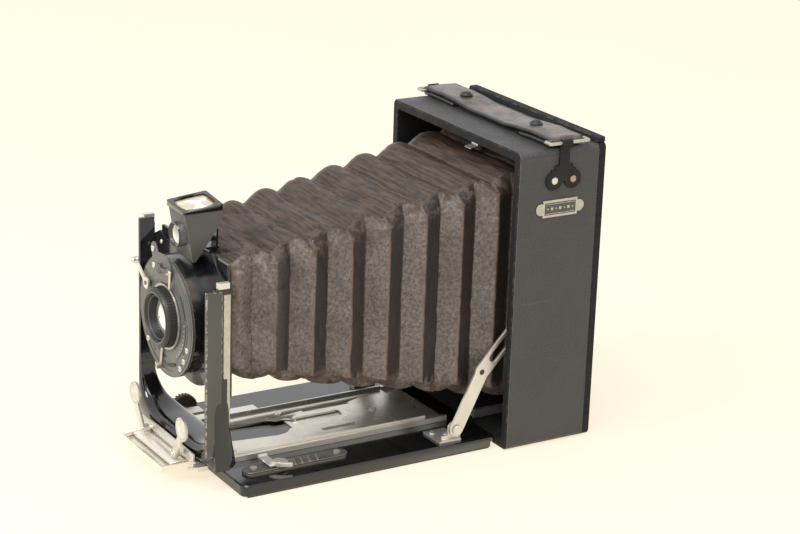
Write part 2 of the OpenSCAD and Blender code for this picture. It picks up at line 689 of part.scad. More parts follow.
module cocking_lever() color([0.78, 0.72, 0.64]) {
    y = face_y - 2.2;
    difference() {
        union() {
            along_y(y, y + 1) {
                translate(cock_c) circle(r = 3);
                slot_shape(cock_c, [-31, 99.5], 1.1);
            }
            rod_y(y - 1.4, y + 1.6, -32, 100.2, 1.7);
        }
        rod_y(y - 3, y + 5, cock_c[0], cock_c[1], 1.05);
    }
}

module release_lever() color([0.72, 0.66, 0.6]) difference() {
    along_y(face_y + 3.5, face_y + 4.5) {
        translate(release_c) circle(r = 3);
        slot_shape(release_c, [-30, 85.5], 1.6);
        translate([-32, 86]) circle(r = 4.2);
    }
    rod_y(face_y, face_y + 8, release_c[0], release_c[1], 1.25);
}

// Reflex finder: a folded sheet box with a front lens, a top lens and a sloping mirror back
module finder() color([0.2, 0.2, 0.2]) {
    x0 = finder_x - finder_w / 2;
    x1 = finder_x + finder_w / 2;
    y = mouth_y;
    difference() {
        along_x(x0, x1) polygon([[y - 163, 138], [y - 143.3, 138], [y - 143.3, 130.5], [y - 156.8, 112.4],
            [y - 158.4, 112.4]]);
        along_x(x0 + 1.2, x1 - 1.2) polygon([[y - 161.8, 139], [y - 144.5, 139], [y - 144.5, 131], [y - 157, 114.4],
            [y - 158, 114.4]]);
        rod_y(y - 166, y - 155, finder_x, 125, 5.2);
        rod_y(y - 150, y - 140, finder_pivot[0], finder_pivot[1], 1.05);
    }
    difference() {
        rod_y(y - 163.8, y - 159.8, finder_x, 125, 6.4);
        rod_y(y - 164.8, y - 150, finder_x, 125, 5.2);
    }
}

case_shell();
case_leather();
back_plate();
holder_channel();
focusing_back();
ground_glass();
hood_lid();
hood_hinge_pin();
carrying_strap();
strap_snaps();
strap_loops();
strap_brackets();
strap_rivets();
side_nameplate();
tripod_bushes();
body_rails();
strut_studs();
bellows_hook();
hinge_leaf_body();
hinge_pin();
bellows_rear();
bellows_middle();
bellows_front();
bellows_front_frame();
drop_bed();
bed_leather();
hinge_leaf_bed();
bed_bush();
fixed_track();
strut_feet();
bed_screws();
distance_scale();
focus_catch();
pinion_bearing();
strut_left();
strut_right();
focus_knob();
pinion_shaft();
sliding_rail();
rail_screws();
carriage_base();
carriage_plates();
grip_left();
grip_right();
lens_standard();
standard_clips();
lens_panel();
shutter_case();
shutter_face();
shutter_screws();
front_cell();
front_glass();
rear_cell();
iris_blades();
speed_lever();
aperture_lever();
cocking_lever();
release_lever();
finder_bracket();
finder();
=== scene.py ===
"""Looks of a folding plate camera of the 1920s, open on its drop bed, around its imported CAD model."""

import json
import math

import bmesh
import bpy
from mathutils import Matrix, Vector, noise
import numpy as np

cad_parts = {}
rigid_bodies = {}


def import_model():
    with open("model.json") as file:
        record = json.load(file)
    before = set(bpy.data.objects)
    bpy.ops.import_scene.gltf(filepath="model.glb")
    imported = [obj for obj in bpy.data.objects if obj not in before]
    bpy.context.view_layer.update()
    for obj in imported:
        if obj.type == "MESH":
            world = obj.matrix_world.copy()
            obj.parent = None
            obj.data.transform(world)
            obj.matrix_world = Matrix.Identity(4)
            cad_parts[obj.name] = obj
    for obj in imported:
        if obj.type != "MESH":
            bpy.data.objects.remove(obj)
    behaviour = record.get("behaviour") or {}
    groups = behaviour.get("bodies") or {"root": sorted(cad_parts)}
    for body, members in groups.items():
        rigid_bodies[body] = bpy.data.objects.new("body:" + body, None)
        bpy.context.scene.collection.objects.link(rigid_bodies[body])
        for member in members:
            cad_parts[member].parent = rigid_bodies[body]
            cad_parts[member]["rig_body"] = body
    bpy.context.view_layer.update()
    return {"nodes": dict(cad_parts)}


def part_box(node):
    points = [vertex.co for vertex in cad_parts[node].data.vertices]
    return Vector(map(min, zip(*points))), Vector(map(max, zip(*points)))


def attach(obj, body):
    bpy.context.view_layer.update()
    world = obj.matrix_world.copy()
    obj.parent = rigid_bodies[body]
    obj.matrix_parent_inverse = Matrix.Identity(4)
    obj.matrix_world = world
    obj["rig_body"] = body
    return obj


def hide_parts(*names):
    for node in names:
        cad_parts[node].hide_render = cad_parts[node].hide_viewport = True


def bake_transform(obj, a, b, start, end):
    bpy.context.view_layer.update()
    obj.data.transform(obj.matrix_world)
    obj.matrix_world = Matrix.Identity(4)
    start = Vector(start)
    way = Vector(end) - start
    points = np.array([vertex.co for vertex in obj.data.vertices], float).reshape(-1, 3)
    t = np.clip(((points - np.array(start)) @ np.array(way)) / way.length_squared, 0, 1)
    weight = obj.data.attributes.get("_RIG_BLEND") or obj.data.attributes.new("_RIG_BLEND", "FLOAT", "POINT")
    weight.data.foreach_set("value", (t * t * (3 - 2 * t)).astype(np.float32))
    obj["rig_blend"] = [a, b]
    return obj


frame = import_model()

MM = 0.001
SHUTTER_FACE_THICK = 1.2 * MM
NOISE_LOW, NOISE_HIGH = 0.3, 0.7


# ---- camera and light ----

def place_camera(azimuth, elevation, roll, place, lens):
    """A camera looking back along its azimuth, measured from -Y towards +X, and its elevation."""
    az, el, turn = (math.radians(v) for v in (azimuth, elevation, roll))
    back = Vector((math.sin(az) * math.cos(el), -math.cos(az) * math.cos(el), math.sin(el)))
    right = Vector((0, 0, 1)).cross(back).normalized()
    up = back.cross(right)
    rolled_right = math.cos(turn) * right + math.sin(turn) * up
    rolled_up = math.cos(turn) * up - math.sin(turn) * right
    data = bpy.data.cameras.new("camera")
    data.lens = lens
    data.sensor_width = 36
    data.clip_end = 50
    camera = bpy.data.objects.new("camera", data)
    axes = Matrix((rolled_right, rolled_up, back)).transposed()
    camera.matrix_world = Matrix.Translation(place) @ axes.to_4x4()
    bpy.context.scene.collection.objects.link(camera)
    bpy.context.scene.camera = camera


def softbox(name, place, target, size, power):
    """A square area light at a place, facing a target."""
    data = bpy.data.lights.new(name, "AREA")
    data.shape = "SQUARE"
    data.size = size
    data.energy = power
    lamp = bpy.data.objects.new(name, data)
    lamp.location = place
    lamp.rotation_euler = (Vector(target) - Vector(place)).to_track_quat("-Z", "Y").to_euler()
    bpy.context.scene.collection.objects.link(lamp)


def light_room(colour, strength):
    """Even light from all round, like a white room."""
    world = bpy.data.worlds.new("room")
    world.use_nodes = True
    sky = world.node_tree.nodes["Background"]
    sky.inputs["Color"].default_value = (*colour, 1)
    sky.inputs["Strength"].default_value = strength
    bpy.context.scene.world = world


# ---- finishes ----

class Finish:
    """A material with a Principled shader, and short calls that add patterns to it."""

    def __init__(self, name, sockets):
        self.material = bpy.data.materials.new(name)
        self.material.use_nodes = True
        self.nodes = self.material.node_tree.nodes
        self.links = self.material.node_tree.links
        self.shader = self.nodes["Principled BSDF"]
        self.place = self.nodes.new("ShaderNodeTexCoord").outputs["Object"]
        for socket, value in sockets.items():
            self.shader.inputs[socket].default_value = (*value, 1) if isinstance(value, tuple) else value

    def feed(self, source, target):
        """Link a socket, or set a plain value, into another socket."""
        if isinstance(source, bpy.types.NodeSocket):
            self.links.new(source, target)
        elif isinstance(source, tuple):
            target.default_value = (*source, 1)
        else:
            target.default_value = source

    def stretched(self, scale, turn=(0, 0, 0)):
        """The object's coordinates, scaled apart along each axis."""
        mapping = self.nodes.new("ShaderNodeMapping")
        mapping.inputs["Scale"].default_value = scale
        mapping.inputs["Rotation"].default_value = turn
        self.links.new(self.place, mapping.inputs["Vector"])
        return mapping.outputs["Vector"]

    def noise(self, scale, detail=3, place=None, rough=0.55):
        """Soft cloudy noise from 0 to 1; a larger scale is finer."""
        texture = self.nodes.new("ShaderNodeTexNoise")
        texture.inputs["Scale"].default_value = scale
        texture.inputs["Detail"].default_value = detail
        texture.inputs["Roughness"].default_value = rough
        self.links.new(place or self.place, texture.inputs["Vector"])
        return texture.outputs["Fac"]

    def cells(self, scale):
        """Distance from the middle of each small cell, for a pebbled grain."""
        texture = self.nodes.new("ShaderNodeTexVoronoi")
        texture.inputs["Scale"].default_value = scale
        self.links.new(self.place, texture.inputs["Vector"])
        return texture.outputs["Distance"]

    def between(self, value, low, high, to_low=0.0, to_high=1.0):
        """A value taken from low..high to to_low..to_high, and held there."""
        ranged = self.nodes.new("ShaderNodeMapRange")
        self.feed(value, ranged.inputs["Value"])
        ranged.inputs["From Min"].default_value = low
        ranged.inputs["From Max"].default_value = high
        ranged.inputs["To Min"].default_value = to_low
        ranged.inputs["To Max"].default_value = to_high
        return ranged.outputs["Result"]

    def patches(self, scale, detail, low, high, to_low=0.0, to_high=1.0):
        """Noise stretched from low..high into clear patches."""
        return self.between(self.noise(scale, detail), low, high, to_low, to_high)

    def combine(self, operation, a, b):
        """Two values taken together by one of the Math node's operations."""
        node = self.nodes.new("ShaderNodeMath")
        node.operation = operation
        self.feed(a, node.inputs[0])
        self.feed(b, node.inputs[1])
        return node.outputs[0]

    def mix(self, share, a, b):
        """Colour a where the share is 0, and b where it is 1."""
        node = self.nodes.new("ShaderNodeMix")
        node.data_type = "RGBA"
        self.feed(share, node.inputs["Factor"])
        self.feed(a, node.inputs["A"])
        self.feed(b, node.inputs["B"])
        return node.outputs["Result"]

    def mark(self, name):
        """A number kept on the mesh, such as where an edge is worn."""
        node = self.nodes.new("ShaderNodeAttribute")
        node.attribute_name = name
        return node.outputs["Fac"]

    def axis(self, letter):
        """The object's coordinate along one axis, in metres."""
        node = self.nodes.new("ShaderNodeSeparateXYZ")
        self.links.new(self.place, node.inputs["Vector"])
        return node.outputs[letter]

    def worn(self, low, high, scale):
        """The mark on the edges, broken up by noise."""
        return self.combine("MULTIPLY", self.mark("wear"), self.patches(scale, 4, low, high))

    def colour(self, source):
        self.feed(source, self.shader.inputs["Base Color"])

    def rough(self, source):
        self.feed(source, self.shader.inputs["Roughness"])

    def patchy_rough(self, scale, detail, low, high):
        """Roughness that wanders between two values in patches."""
        self.rough(self.patches(scale, detail, NOISE_LOW, NOISE_HIGH, low, high))

    def worn_colour(self, tone, bare, low=0.42, high=0.6, scale=260):
        """A tone all over, with the bare colour where a marked edge has rubbed through."""
        self.colour(self.mix(self.worn(low, high, scale), tone, bare))

    def bump(self, height, depth, strength):
        """Relief of the surface: its depth in metres."""
        node = self.nodes.new("ShaderNodeBump")
        node.inputs["Distance"].default_value = depth
        node.inputs["Strength"].default_value = strength
        self.links.new(height, node.inputs["Height"])
        self.links.new(node.outputs["Normal"], self.shader.inputs["Normal"])


def leatherette():
    """Pebbled black cloth of the body: pores, long scratches, and grey where an edge is worn."""
    finish = Finish("leatherette", {"Specular IOR Level": 0.5})
    tone = finish.mix(finish.noise(28, 4), (0.025, 0.0245, 0.024), (0.048, 0.0465, 0.0455))
    pores = finish.patches(1500, 2, 0.35, 0.7)
    tone = finish.mix(pores, tone, (0.063, 0.0615, 0.06))
    lines = finish.between(finish.noise(1, 3, finish.stretched((14, 14, 420))), 0.66, 0.7, 0, 0.5)
    scratches = finish.between(finish.noise(1, 3, finish.stretched((420, 380, 9))), 0.68, 0.72, 0, 0.5)
    tone = finish.mix(finish.combine("MAXIMUM", lines, scratches), tone, (0.09, 0.088, 0.085))
    finish.worn_colour(tone, (0.085, 0.081, 0.076))
    finish.patchy_rough(90, 3, 0.42, 0.58)
    finish.bump(finish.combine("ADD", finish.cells(900), finish.noise(500, 2)), 0.00025, 0.8)
    return finish.material


def hood_leather():
    """The same cloth as the body, smoother where hands have held it."""
    finish = Finish("hood_leather", {"Specular IOR Level": 0.5})
    finish.colour(finish.mix(finish.noise(40, 4), (0.03, 0.029, 0.029), (0.055, 0.053, 0.052)))
    finish.patchy_rough(70, 3, 0.4, 0.55)
    finish.bump(finish.cells(1000), 0.0002, 0.7)
    return finish.material


def bellows_leather():
    """Brown leather: speckled sides, a streaked top, painted shade on the backs of the pleats, and ridges
    rubbed brown on the sides, with a painted highlight along the grooves of the top.
    """
    finish = Finish("bellows_leather", {"Specular IOR Level": 0.35})
    fold, corner = finish.mark("fold"), finish.mark("corner")
    roof = finish.mark("roof")
    speckle = finish.between(finish.noise(620, 3, rough=0.75), 0.36, 0.64)
    side = finish.mix(speckle, (0.082, 0.066, 0.059), (0.205, 0.172, 0.155))
    # painted shade: the slopes of the side pleats that face the back, where the rear mark is 1, are darkened
    side = finish.mix(finish.mark("rear"), side, (0.022, 0.016, 0.013))
    streaks = finish.noise(1, 4, finish.stretched((60, 900, 60)))
    top = finish.mix(finish.between(streaks, 0.36, 0.64), (0.02, 0.012, 0.008), (0.082, 0.054, 0.037))
    tone = finish.mix(roof, side, top)
    stains = finish.patches(45, 4, 0.45, 0.75, 0, 0.5)
    tone = finish.mix(stains, tone, (0.04, 0.028, 0.022))
    # rubbed wear along the ridges of the sides, and a painted highlight along the grooves of the top
    ridge_wear_and_highlight = finish.patches(170, 4, 0.4, 0.56)
    ridge = finish.combine("MULTIPLY", finish.between(fold, 0.35, 0.9), ridge_wear_and_highlight)
    tone = finish.mix(ridge, tone, (0.17, 0.103, 0.07))
    rubbed = finish.combine("MULTIPLY", corner, finish.patches(240, 4, 0.47, 0.6))
    tone = finish.mix(rubbed, tone, (0.085, 0.056, 0.04))
    scuffs = finish.combine("MULTIPLY", corner, finish.between(finish.noise(420, 5, rough=0.7), 0.66, 0.74))
    tone = finish.mix(scuffs, tone, (0.36, 0.33, 0.3))
    slanting = finish.stretched((260, 260, 60), (0.5, 0, 0))
    nicks = finish.between(finish.noise(1, 2, slanting), 0.71, 0.73, 0, 0.8)
    finish.colour(finish.mix(nicks, tone, (0.035, 0.026, 0.022)))
    finish.patchy_rough(160, 4, 0.36, 0.62)
    coarse = finish.combine("MULTIPLY", finish.noise(180, 3), 1.5)
    grain = finish.combine("ADD", finish.noise(900, 3), coarse)
    finish.bump(grain, 0.0003, 0.7)
    return finish.material


def strap_leather():
    """Brown strap leather, streaked along its length, black along its ragged edges."""
    finish = Finish("strap_leather",
                    {"Specular IOR Level": 0.6, "Coat Weight": 0.25, "Coat Roughness": 0.25})
    along = finish.noise(1, 4, finish.stretched((70, 500, 300)))
    tone = finish.mix(along, (0.05, 0.034, 0.026), (0.2, 0.16, 0.128))
    tone = finish.mix(finish.patches(120, 4, 0.45, 0.65), tone, (0.05, 0.033, 0.024))
    ragged = finish.between(finish.mark("edge"), 0.72, 0.95)
    tone = finish.mix(ragged, tone, (0.018, 0.014, 0.012))
    cracks = finish.between(finish.noise(1, 3, finish.stretched((900, 60, 60))), 0.66, 0.7, 0, 0.8)
    finish.colour(finish.mix(cracks, tone, (0.035, 0.025, 0.02)))
    finish.patchy_rough(300, 4, 0.3, 0.5)
    finish.bump(finish.combine("ADD", along, finish.noise(600, 3)), 0.0003, 0.7)
    return finish.material


def lacquer():
    """Gloss black with a little dust, grey along worn edges."""
    finish = Finish("black_lacquer", {"Specular IOR Level": 0.5, "Coat Weight": 0.5, "Coat Roughness": 0.03})
    tone = finish.mix(finish.noise(60, 3), (0.003, 0.003, 0.004), (0.009, 0.0085, 0.009))
    dust = finish.patches(900, 2, 0.74, 0.8, 0, 0.4)
    tone = finish.mix(dust, tone, (0.12, 0.117, 0.11))
    finish.worn_colour(tone, (0.1, 0.095, 0.085), 0.66, 0.76, 260)
    finish.rough(finish.patches(110, 4, NOISE_LOW, 0.75, 0.08, 0.18))
    finish.bump(finish.noise(60, 2), 0.0001, 0.15)
    return finish.material


def grey_lacquer(name, dark, pale):
    """Black lacquer rubbed to a grey sheen, as on the finder and the shutter's cover plates."""
    finish = Finish(name, {"Specular IOR Level": 0.6, "Metallic": 0.2})
    tone = finish.mix(finish.noise(50, 3), dark, pale)
    finish.worn_colour(tone, (0.34, 0.32, 0.28), 0.46, 0.6, 500)
    finish.patchy_rough(400, 4, 0.3, 0.42)
    finish.bump(finish.noise(1400, 2), 0.00006, 0.5)
    return finish.material


def browned_lacquer():
    """The drum of the shutter, gloss black with the brass showing through in brown patches."""
    finish = Finish("browned_lacquer",
                    {"Specular IOR Level": 0.65, "Coat Weight": 0.5, "Coat Roughness": 0.08})
    patches = finish.patches(70, 3, 0.56, 0.72)
    tone = finish.mix(patches, (0.008, 0.008, 0.009), (0.07, 0.038, 0.014))
    finish.worn_colour(tone, (0.42, 0.38, 0.3), 0.4, 0.55, 500)
    finish.patchy_rough(200, 4, 0.16, 0.34)
    return finish.material


def satin_black():
    """Black with a soft sheen, for small metal parts and the frames of the back."""
    finish = Finish("satin_black", {"Specular IOR Level": 0.5})
    tone = finish.mix(finish.noise(120, 3), (0.01, 0.01, 0.01), (0.026, 0.025, 0.024))
    finish.worn_colour(tone, (0.1, 0.095, 0.085), 0.56, 0.7, 480)
    finish.patchy_rough(300, 3, 0.3, 0.5)
    return finish.material


def bracket_black():
    """Dull black of the strap's stamped brackets."""
    finish = Finish("bracket_black", {"Specular IOR Level": 0.3})
    finish.colour(finish.mix(finish.noise(200, 3), (0.004, 0.004, 0.004), (0.014, 0.013, 0.012)))
    finish.patchy_rough(300, 3, 0.45, 0.6)
    return finish.material


def matt_black():
    """Black stained wood of the body, with a faint upright grain."""
    finish = Finish("matt_black_wood", {"Specular IOR Level": 0.25})
    grain = finish.noise(1, 4, finish.stretched((120, 30, 700)))
    tone = finish.mix(grain, (0.006, 0.006, 0.006), (0.02, 0.019, 0.018))
    finish.worn_colour(tone, (0.07, 0.066, 0.06), 0.5, 0.65, 300)
    finish.patchy_rough(200, 3, 0.55, 0.8)
    finish.bump(finish.noise(900, 3), 0.0001, 0.5)
    return finish.material


def nickel():
    """Brushed nickel with brown spots, warmer where the plating has rubbed thin."""
    finish = Finish("nickel", {"Metallic": 0.8})
    tone = finish.mix(finish.noise(55, 4), (0.64, 0.6, 0.53), (0.82, 0.78, 0.71))
    spots = finish.between(finish.noise(520, 4, rough=0.7), 0.68, 0.78, 0, 0.5)
    tone = finish.mix(spots, tone, (0.3, 0.24, 0.17))
    finish.worn_colour(tone, (0.6, 0.5, 0.38), 0.58, 0.7, 500)
    finish.patchy_rough(240, 4, 0.3, 0.42)
    brushed = finish.noise(1, 2, finish.stretched((1500, 90, 1500)))
    finish.bump(brushed, 0.00004, 0.5)
    return finish.material


def rail_nickel():
    """Satin nickel of the rail and its track, pale where it is flat."""
    finish = Finish("rail_nickel", {"Metallic": 0.7, "Specular IOR Level": 0.8})
    tone = finish.mix(finish.noise(40, 4), (0.8, 0.74, 0.63), (0.94, 0.89, 0.79))
    spots = finish.between(finish.noise(380, 4, rough=0.7), 0.74, 0.84, 0, 0.3)
    tone = finish.mix(spots, tone, (0.26, 0.21, 0.15))
    finish.colour(tone)
    finish.patchy_rough(200, 4, 0.2, 0.28)
    return finish.material


def aged_nickel():
    """Nickel gone dull, as on the nameplate and the strap's wire loops."""
    finish = Finish("aged_nickel", {"Metallic": 0.85})
    tone = finish.mix(finish.noise(350, 4), (0.38, 0.35, 0.29), (0.68, 0.64, 0.55))
    finish.worn_colour(tone, (0.2, 0.17, 0.13), 0.5, 0.64, 500)
    finish.patchy_rough(240, 4, 0.35, 0.5)
    return finish.material


def speed_nickel():
    """Nickel on the speed lever's tail; its hub and arm are black like the plate under them."""
    finish = Finish("speed_nickel", {"Specular IOR Level": 0.5})
    tail = finish.between(finish.axis("X"), 7.4 * MM, 8.2 * MM)
    finish.colour(finish.mix(tail, (0.07, 0.067, 0.062), (0.72, 0.67, 0.58)))
    finish.feed(tail, finish.shader.inputs["Metallic"])
    finish.rough(0.32)
    return finish.material


def copper():
    """Bare copper of the rear strap rivets."""
    finish = Finish("copper", {"Metallic": 1.0})
    finish.colour(finish.mix(finish.noise(600, 3), (0.4, 0.2, 0.13), (0.66, 0.4, 0.28)))
    finish.patchy_rough(500, 3, 0.28, 0.5)
    return finish.material


def knob_bronze():
    """Brown bronze of the focusing knob, yellow on its worn edges."""
    finish = Finish("knob_bronze", {"Metallic": 0.55})
    tone = finish.mix(finish.noise(300, 4), (0.05, 0.034, 0.022), (0.12, 0.085, 0.055))
    finish.worn_colour(tone, (0.34, 0.25, 0.16), 0.42, 0.55, 600)
    finish.patchy_rough(400, 3, 0.38, 0.6)
    return finish.material


def scale_enamel():
    """Dark enamel on a nickel strip: the raised division lines and the strip's foot show bare metal."""
    finish = Finish("scale_enamel", {"Specular IOR Level": 0.5})
    foot_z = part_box("distance_scale")[0].z
    height = finish.axis("Z")
    plate_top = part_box("drop_bed")[1].z + 1.5 * MM
    lines = finish.between(height, plate_top + 0.05 * MM, plate_top + 0.1 * MM)
    foot = finish.between(height, foot_z + 0.55 * MM, foot_z + 0.65 * MM, 1, 0)
    bare = finish.combine("MAXIMUM", lines, foot)
    bare = finish.combine("MAXIMUM", bare, finish.worn(0.3, 0.45, 700))
    tone = finish.mix(finish.noise(160, 4), (0.035, 0.032, 0.03), (0.13, 0.12, 0.108))
    finish.colour(finish.mix(bare, tone, (0.62, 0.53, 0.42)))
    finish.feed(bare, finish.shader.inputs["Metallic"])
    finish.patchy_rough(300, 3, 0.26, 0.42)
    return finish.material


def lens_glass():
    """Polished glass over a dark tube, its colour a painted reflection: mostly bright, with paler and greyer
    rings.
    """
    finish = Finish("lens_glass", {"Specular IOR Level": 1.0, "Coat Weight": 1.0, "Coat Roughness": 0.02,
                                   "Metallic": 0.7})
    # painted reflection: patches of pale and grey in the glass's colour stand for the room seen in it
    painted_reflection = finish.patches(60, 2, 0.35, 0.65)
    finish.colour(finish.mix(painted_reflection, (0.36, 0.37, 0.35), (0.95, 0.95, 0.9)))
    finish.patchy_rough(80, 2, 0.06, 0.14)
    return finish.material


def finder_glass():
    """Yellowed finder screen: cream, with amber at the rim and a painted white reflection in patches."""
    finish = Finish("finder_glass", {"Specular IOR Level": 0.5, "Coat Weight": 0.4, "Coat Roughness": 0.05})
    tone = finish.mix(finish.between(finish.mark("edge"), 0.55, 0.95), (0.5, 0.46, 0.37), (0.56, 0.38, 0.15))
    # painted reflection: near-white patches over the cream tone
    finish.colour(finish.mix(finish.patches(110, 2, 0.5, 0.58), tone, (0.95, 0.92, 0.84)))
    finish.patchy_rough(200, 2, 0.08, 0.2)
    return finish.material


def ground_glass():
    """Frosted pale glass of the focusing screen."""
    finish = Finish("ground_glass", {"Transmission Weight": 0.3, "Specular IOR Level": 0.4})
    finish.colour(finish.mix(finish.noise(900, 2), (0.62, 0.64, 0.61), (0.74, 0.76, 0.73)))
    finish.patchy_rough(700, 2, 0.6, 0.75)
    finish.bump(finish.noise(2500, 2), 0.00005, 0.5)
    return finish.material


def pale_paper():
    """The floor: cream paper that gives a little light back, so that shadows on it stay faint."""
    finish = Finish("pale_paper", {"Roughness": 1.0, "Specular IOR Level": 0.0,
                                   "Emission Color": (1.0, 0.86, 0.68), "Emission Strength": 0.8})
    finish.colour(finish.mix(finish.noise(3, 2), (0.24, 0.26, 0.235), (0.26, 0.28, 0.25)))
    return finish.material


# ---- making pieces ----

def add_piece(name, shape, finish, body, replaces=(), sharp=32):
    """Put a shape, or several as one, in the scene, riding on its body and standing for its CAD nodes."""
    mesh = mesh_of(join(shape) if isinstance(shape, list) else shape, name)
    piece = bpy.data.objects.new(name, mesh)
    bpy.context.scene.collection.objects.link(piece)
    mesh.materials.append(finish)
    mesh.shade_smooth()
    mesh.set_sharp_from_angle(angle=math.radians(sharp))
    if body:
        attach(piece, body)
    if replaces:
        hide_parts(*replaces)
    return piece


def stand_for(node, name, bm, finish, sharp=32):
    """Put in a shape that stands for one CAD node, on the node's body."""
    add_piece(name, bm, finish, frame["nodes"][node]["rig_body"], [node], sharp)


def mesh_of(bm, name):
    """A mesh made from a bmesh, which is used up."""
    mesh = bpy.data.meshes.new(name)
    bm.to_mesh(mesh)
    bm.free()
    return mesh


def node_shape(node):
    """A copy of a CAD node's mesh with its seams merged and its flat faces whole."""
    bm = bmesh.new()
    bm.from_mesh(frame["nodes"][node].data)
    bmesh.ops.remove_doubles(bm, verts=bm.verts, dist=0.002 * MM)
    bmesh.ops.dissolve_limit(bm, angle_limit=math.radians(0.5), verts=bm.verts, edges=bm.edges)
    return bm


def bevel_edges(bm, width, segments=1):
    """Bevel every edge that turns by more than 30 degrees, and mark the new faces as where wear shows."""
    wear = bm.faces.layers.float.get("wear") or bm.faces.layers.float.new("wear")
    limit = math.radians(30)
    sharp = [e for e in bm.edges if len(e.link_faces) == 2 and e.calc_face_angle(0) > limit]
    made = bmesh.ops.bevel(bm, geom=sharp, offset=width, offset_type="OFFSET", segments=segments,
                           profile=0.5, affect="EDGES", clamp_overlap=True, material=-1)
    for face in made["faces"]:
        face[wear] = 1.0


def dress(node, finish, edge):
    """The CAD node's own shape with small bevels and a finish; edge is in millimetres."""
    bm = node_shape(node)
    bevel_edges(bm, edge * MM)
    stand_for(node, "dressed_" + node, bm, finish)


def slim_pin(node, finish):
    """A hinge pin along X, a little thinner than its CAD solid so that its facets clear the bore."""
    bm = node_shape(node)
    low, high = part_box(node)
    middle = (low + high) / 2
    bmesh.ops.translate(bm, vec=-middle, verts=bm.verts)
    bmesh.ops.scale(bm, vec=(1, 0.9, 0.9), verts=bm.verts)
    bmesh.ops.translate(bm, vec=middle, verts=bm.verts)
    stand_for(node, "slim_" + node, bm, finish)


def thicken(piece, thickness, offset=-1):
    """Give a sheet its thickness, in millimetres, inwards or to both sides."""
    wall = piece.modifiers.new("thickness", "SOLIDIFY")
    wall.thickness = thickness * MM
    wall.offset = offset


def face_towards(bm, direction):
    """Make the faces of an open sheet agree, and look along a direction."""
    bmesh.ops.recalc_face_normals(bm, faces=bm.faces)
    if sum(face.normal.dot(Vector(direction)) for face in bm.faces) < 0:
        bmesh.ops.reverse_faces(bm, faces=bm.faces)


def spun(outline, centre, axis=(0, 1, 0), steps=48):
    """A closed shape made by turning an outline of (radius, distance along) about an axis."""
    axis = Vector(axis).normalized()
    side = axis.orthogonal().normalized()
    bm = bmesh.new()
    points = [bm.verts.new(Vector(centre) + side * r * MM + axis * h * MM) for r, h in outline]
    edges = [bm.edges.new(pair) for pair in zip(points, points[1:])]
    bmesh.ops.spin(bm, geom=points + edges, cent=centre, axis=axis, angle=math.tau, steps=steps,
                   use_merge=True, use_duplicate=False)
    bmesh.ops.remove_doubles(bm, verts=bm.verts, dist=0.001 * MM)
    bmesh.ops.recalc_face_normals(bm, faces=bm.faces)
    return bm


def join(shapes):
    """One bmesh out of several."""
    whole = bmesh.new()
    for shape in shapes:
        mesh = mesh_of(shape, "part")
        whole.from_mesh(mesh)
        bpy.data.meshes.remove(mesh)
    return whole


def dome(centre, axis, radius, height, steps=24):
    """A domed rivet or screw head standing on a surface."""
    rise = [(radius * math.cos(a), height * math.sin(a)) for a in (0, 0.4, 0.8, 1.2)]
    return spun([(0, -0.2), (radius, -0.2)] + rise + [(0, height)], centre, axis, steps)


def slab(low, high, edge, segments=1):
    """A block between two corners in metres, with its edges bevelled by edge in millimetres."""
    bm = bmesh.new()
    bmesh.ops.create_cube(bm, size=1)
    low, high = Vector(low), Vector(high)
    bmesh.ops.scale(bm, vec=high - low, verts=bm.verts)
    bmesh.ops.translate(bm, vec=(low + high) / 2, verts=bm.verts)
    bevel_edges(bm, edge * MM, segments)
    return bm


# ---- places taken from the frame ----

BODY_LOW, BODY_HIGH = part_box("case_leather")
STRAP_LOW, STRAP_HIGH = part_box("carrying_strap")
GLASS_LOW, GLASS_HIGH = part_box("front_glass")
FINDER_LOW, FINDER_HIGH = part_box("finder")
CROSS_LOW, CROSS_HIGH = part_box("lens_standard")
MOUTH_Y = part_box("case_shell")[0].y
LENS = (GLASS_LOW + GLASS_HIGH) / 2
FACE_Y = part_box("shutter_case")[0].y - SHUTTER_FACE_THICK
LENS_FACE = Vector((LENS.x, FACE_Y, LENS.z))
GATE_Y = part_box("bellows_rear")[1].y
END_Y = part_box("bellows_front")[0].y


# ---- bellows ----

PLEAT = 20.3 * MM
RIDGE_Y = MOUTH_Y - 2.7 * MM
SEAM_1, SEAM_2, SEAM_3 = (RIDGE_Y - (pleat + 0.5) * PLEAT for pleat in (1, 3, 6))
RING_STEP = 0.6 * MM
QUARTER_STEPS = 33
FLAT_STEPS = 28
# Sizes in millimetres at the end in the body and at the end behind the lens.
HALF_WIDTH, FLOOR_Z, ROOF_Z, CORNER_CUT = (49.8, 36.8), (15.5, 57), (150.3, 114.8), (6.5, 5)
SIDE_RISE, ROOF_RISE, UNDERSIDE_SHARE = 2.8 * MM, 2.3 * MM, 0.55
# BACK_SHADE_FADE: how far from a ridge the painted shade on the back-facing slopes comes to full strength
RIDGE_WIDTH, BACK_SHADE_FADE, CORNER_FADE = 1.5 * MM, 1.2 * MM, 5 * MM


def held(value):
    """A value kept from 0 to 1."""
    return min(max(value, 0), 1)


def between_ends(y, at_gate, at_front):
    """A size of the bellows at a place along it, given in millimetres at its two ends."""
    return (at_gate + (at_front - at_gate) * (GATE_Y - y) / (GATE_Y - END_Y)) * MM


def fold_wave(y):
    """1 where the sides stand out in a ridge, -1 in a valley, with the folds a little rounded."""
    return 2 / math.pi * math.asin(0.985 * math.cos(math.tau * (y - RIDGE_Y) / PLEAT))


def roof_wave(y):
    """1 along the crown of each rounded pleat of the top, -1 in the narrow groove between two."""
    return 2 * abs(math.sin(math.pi * (y - RIDGE_Y) / PLEAT)) ** 0.8 - 1


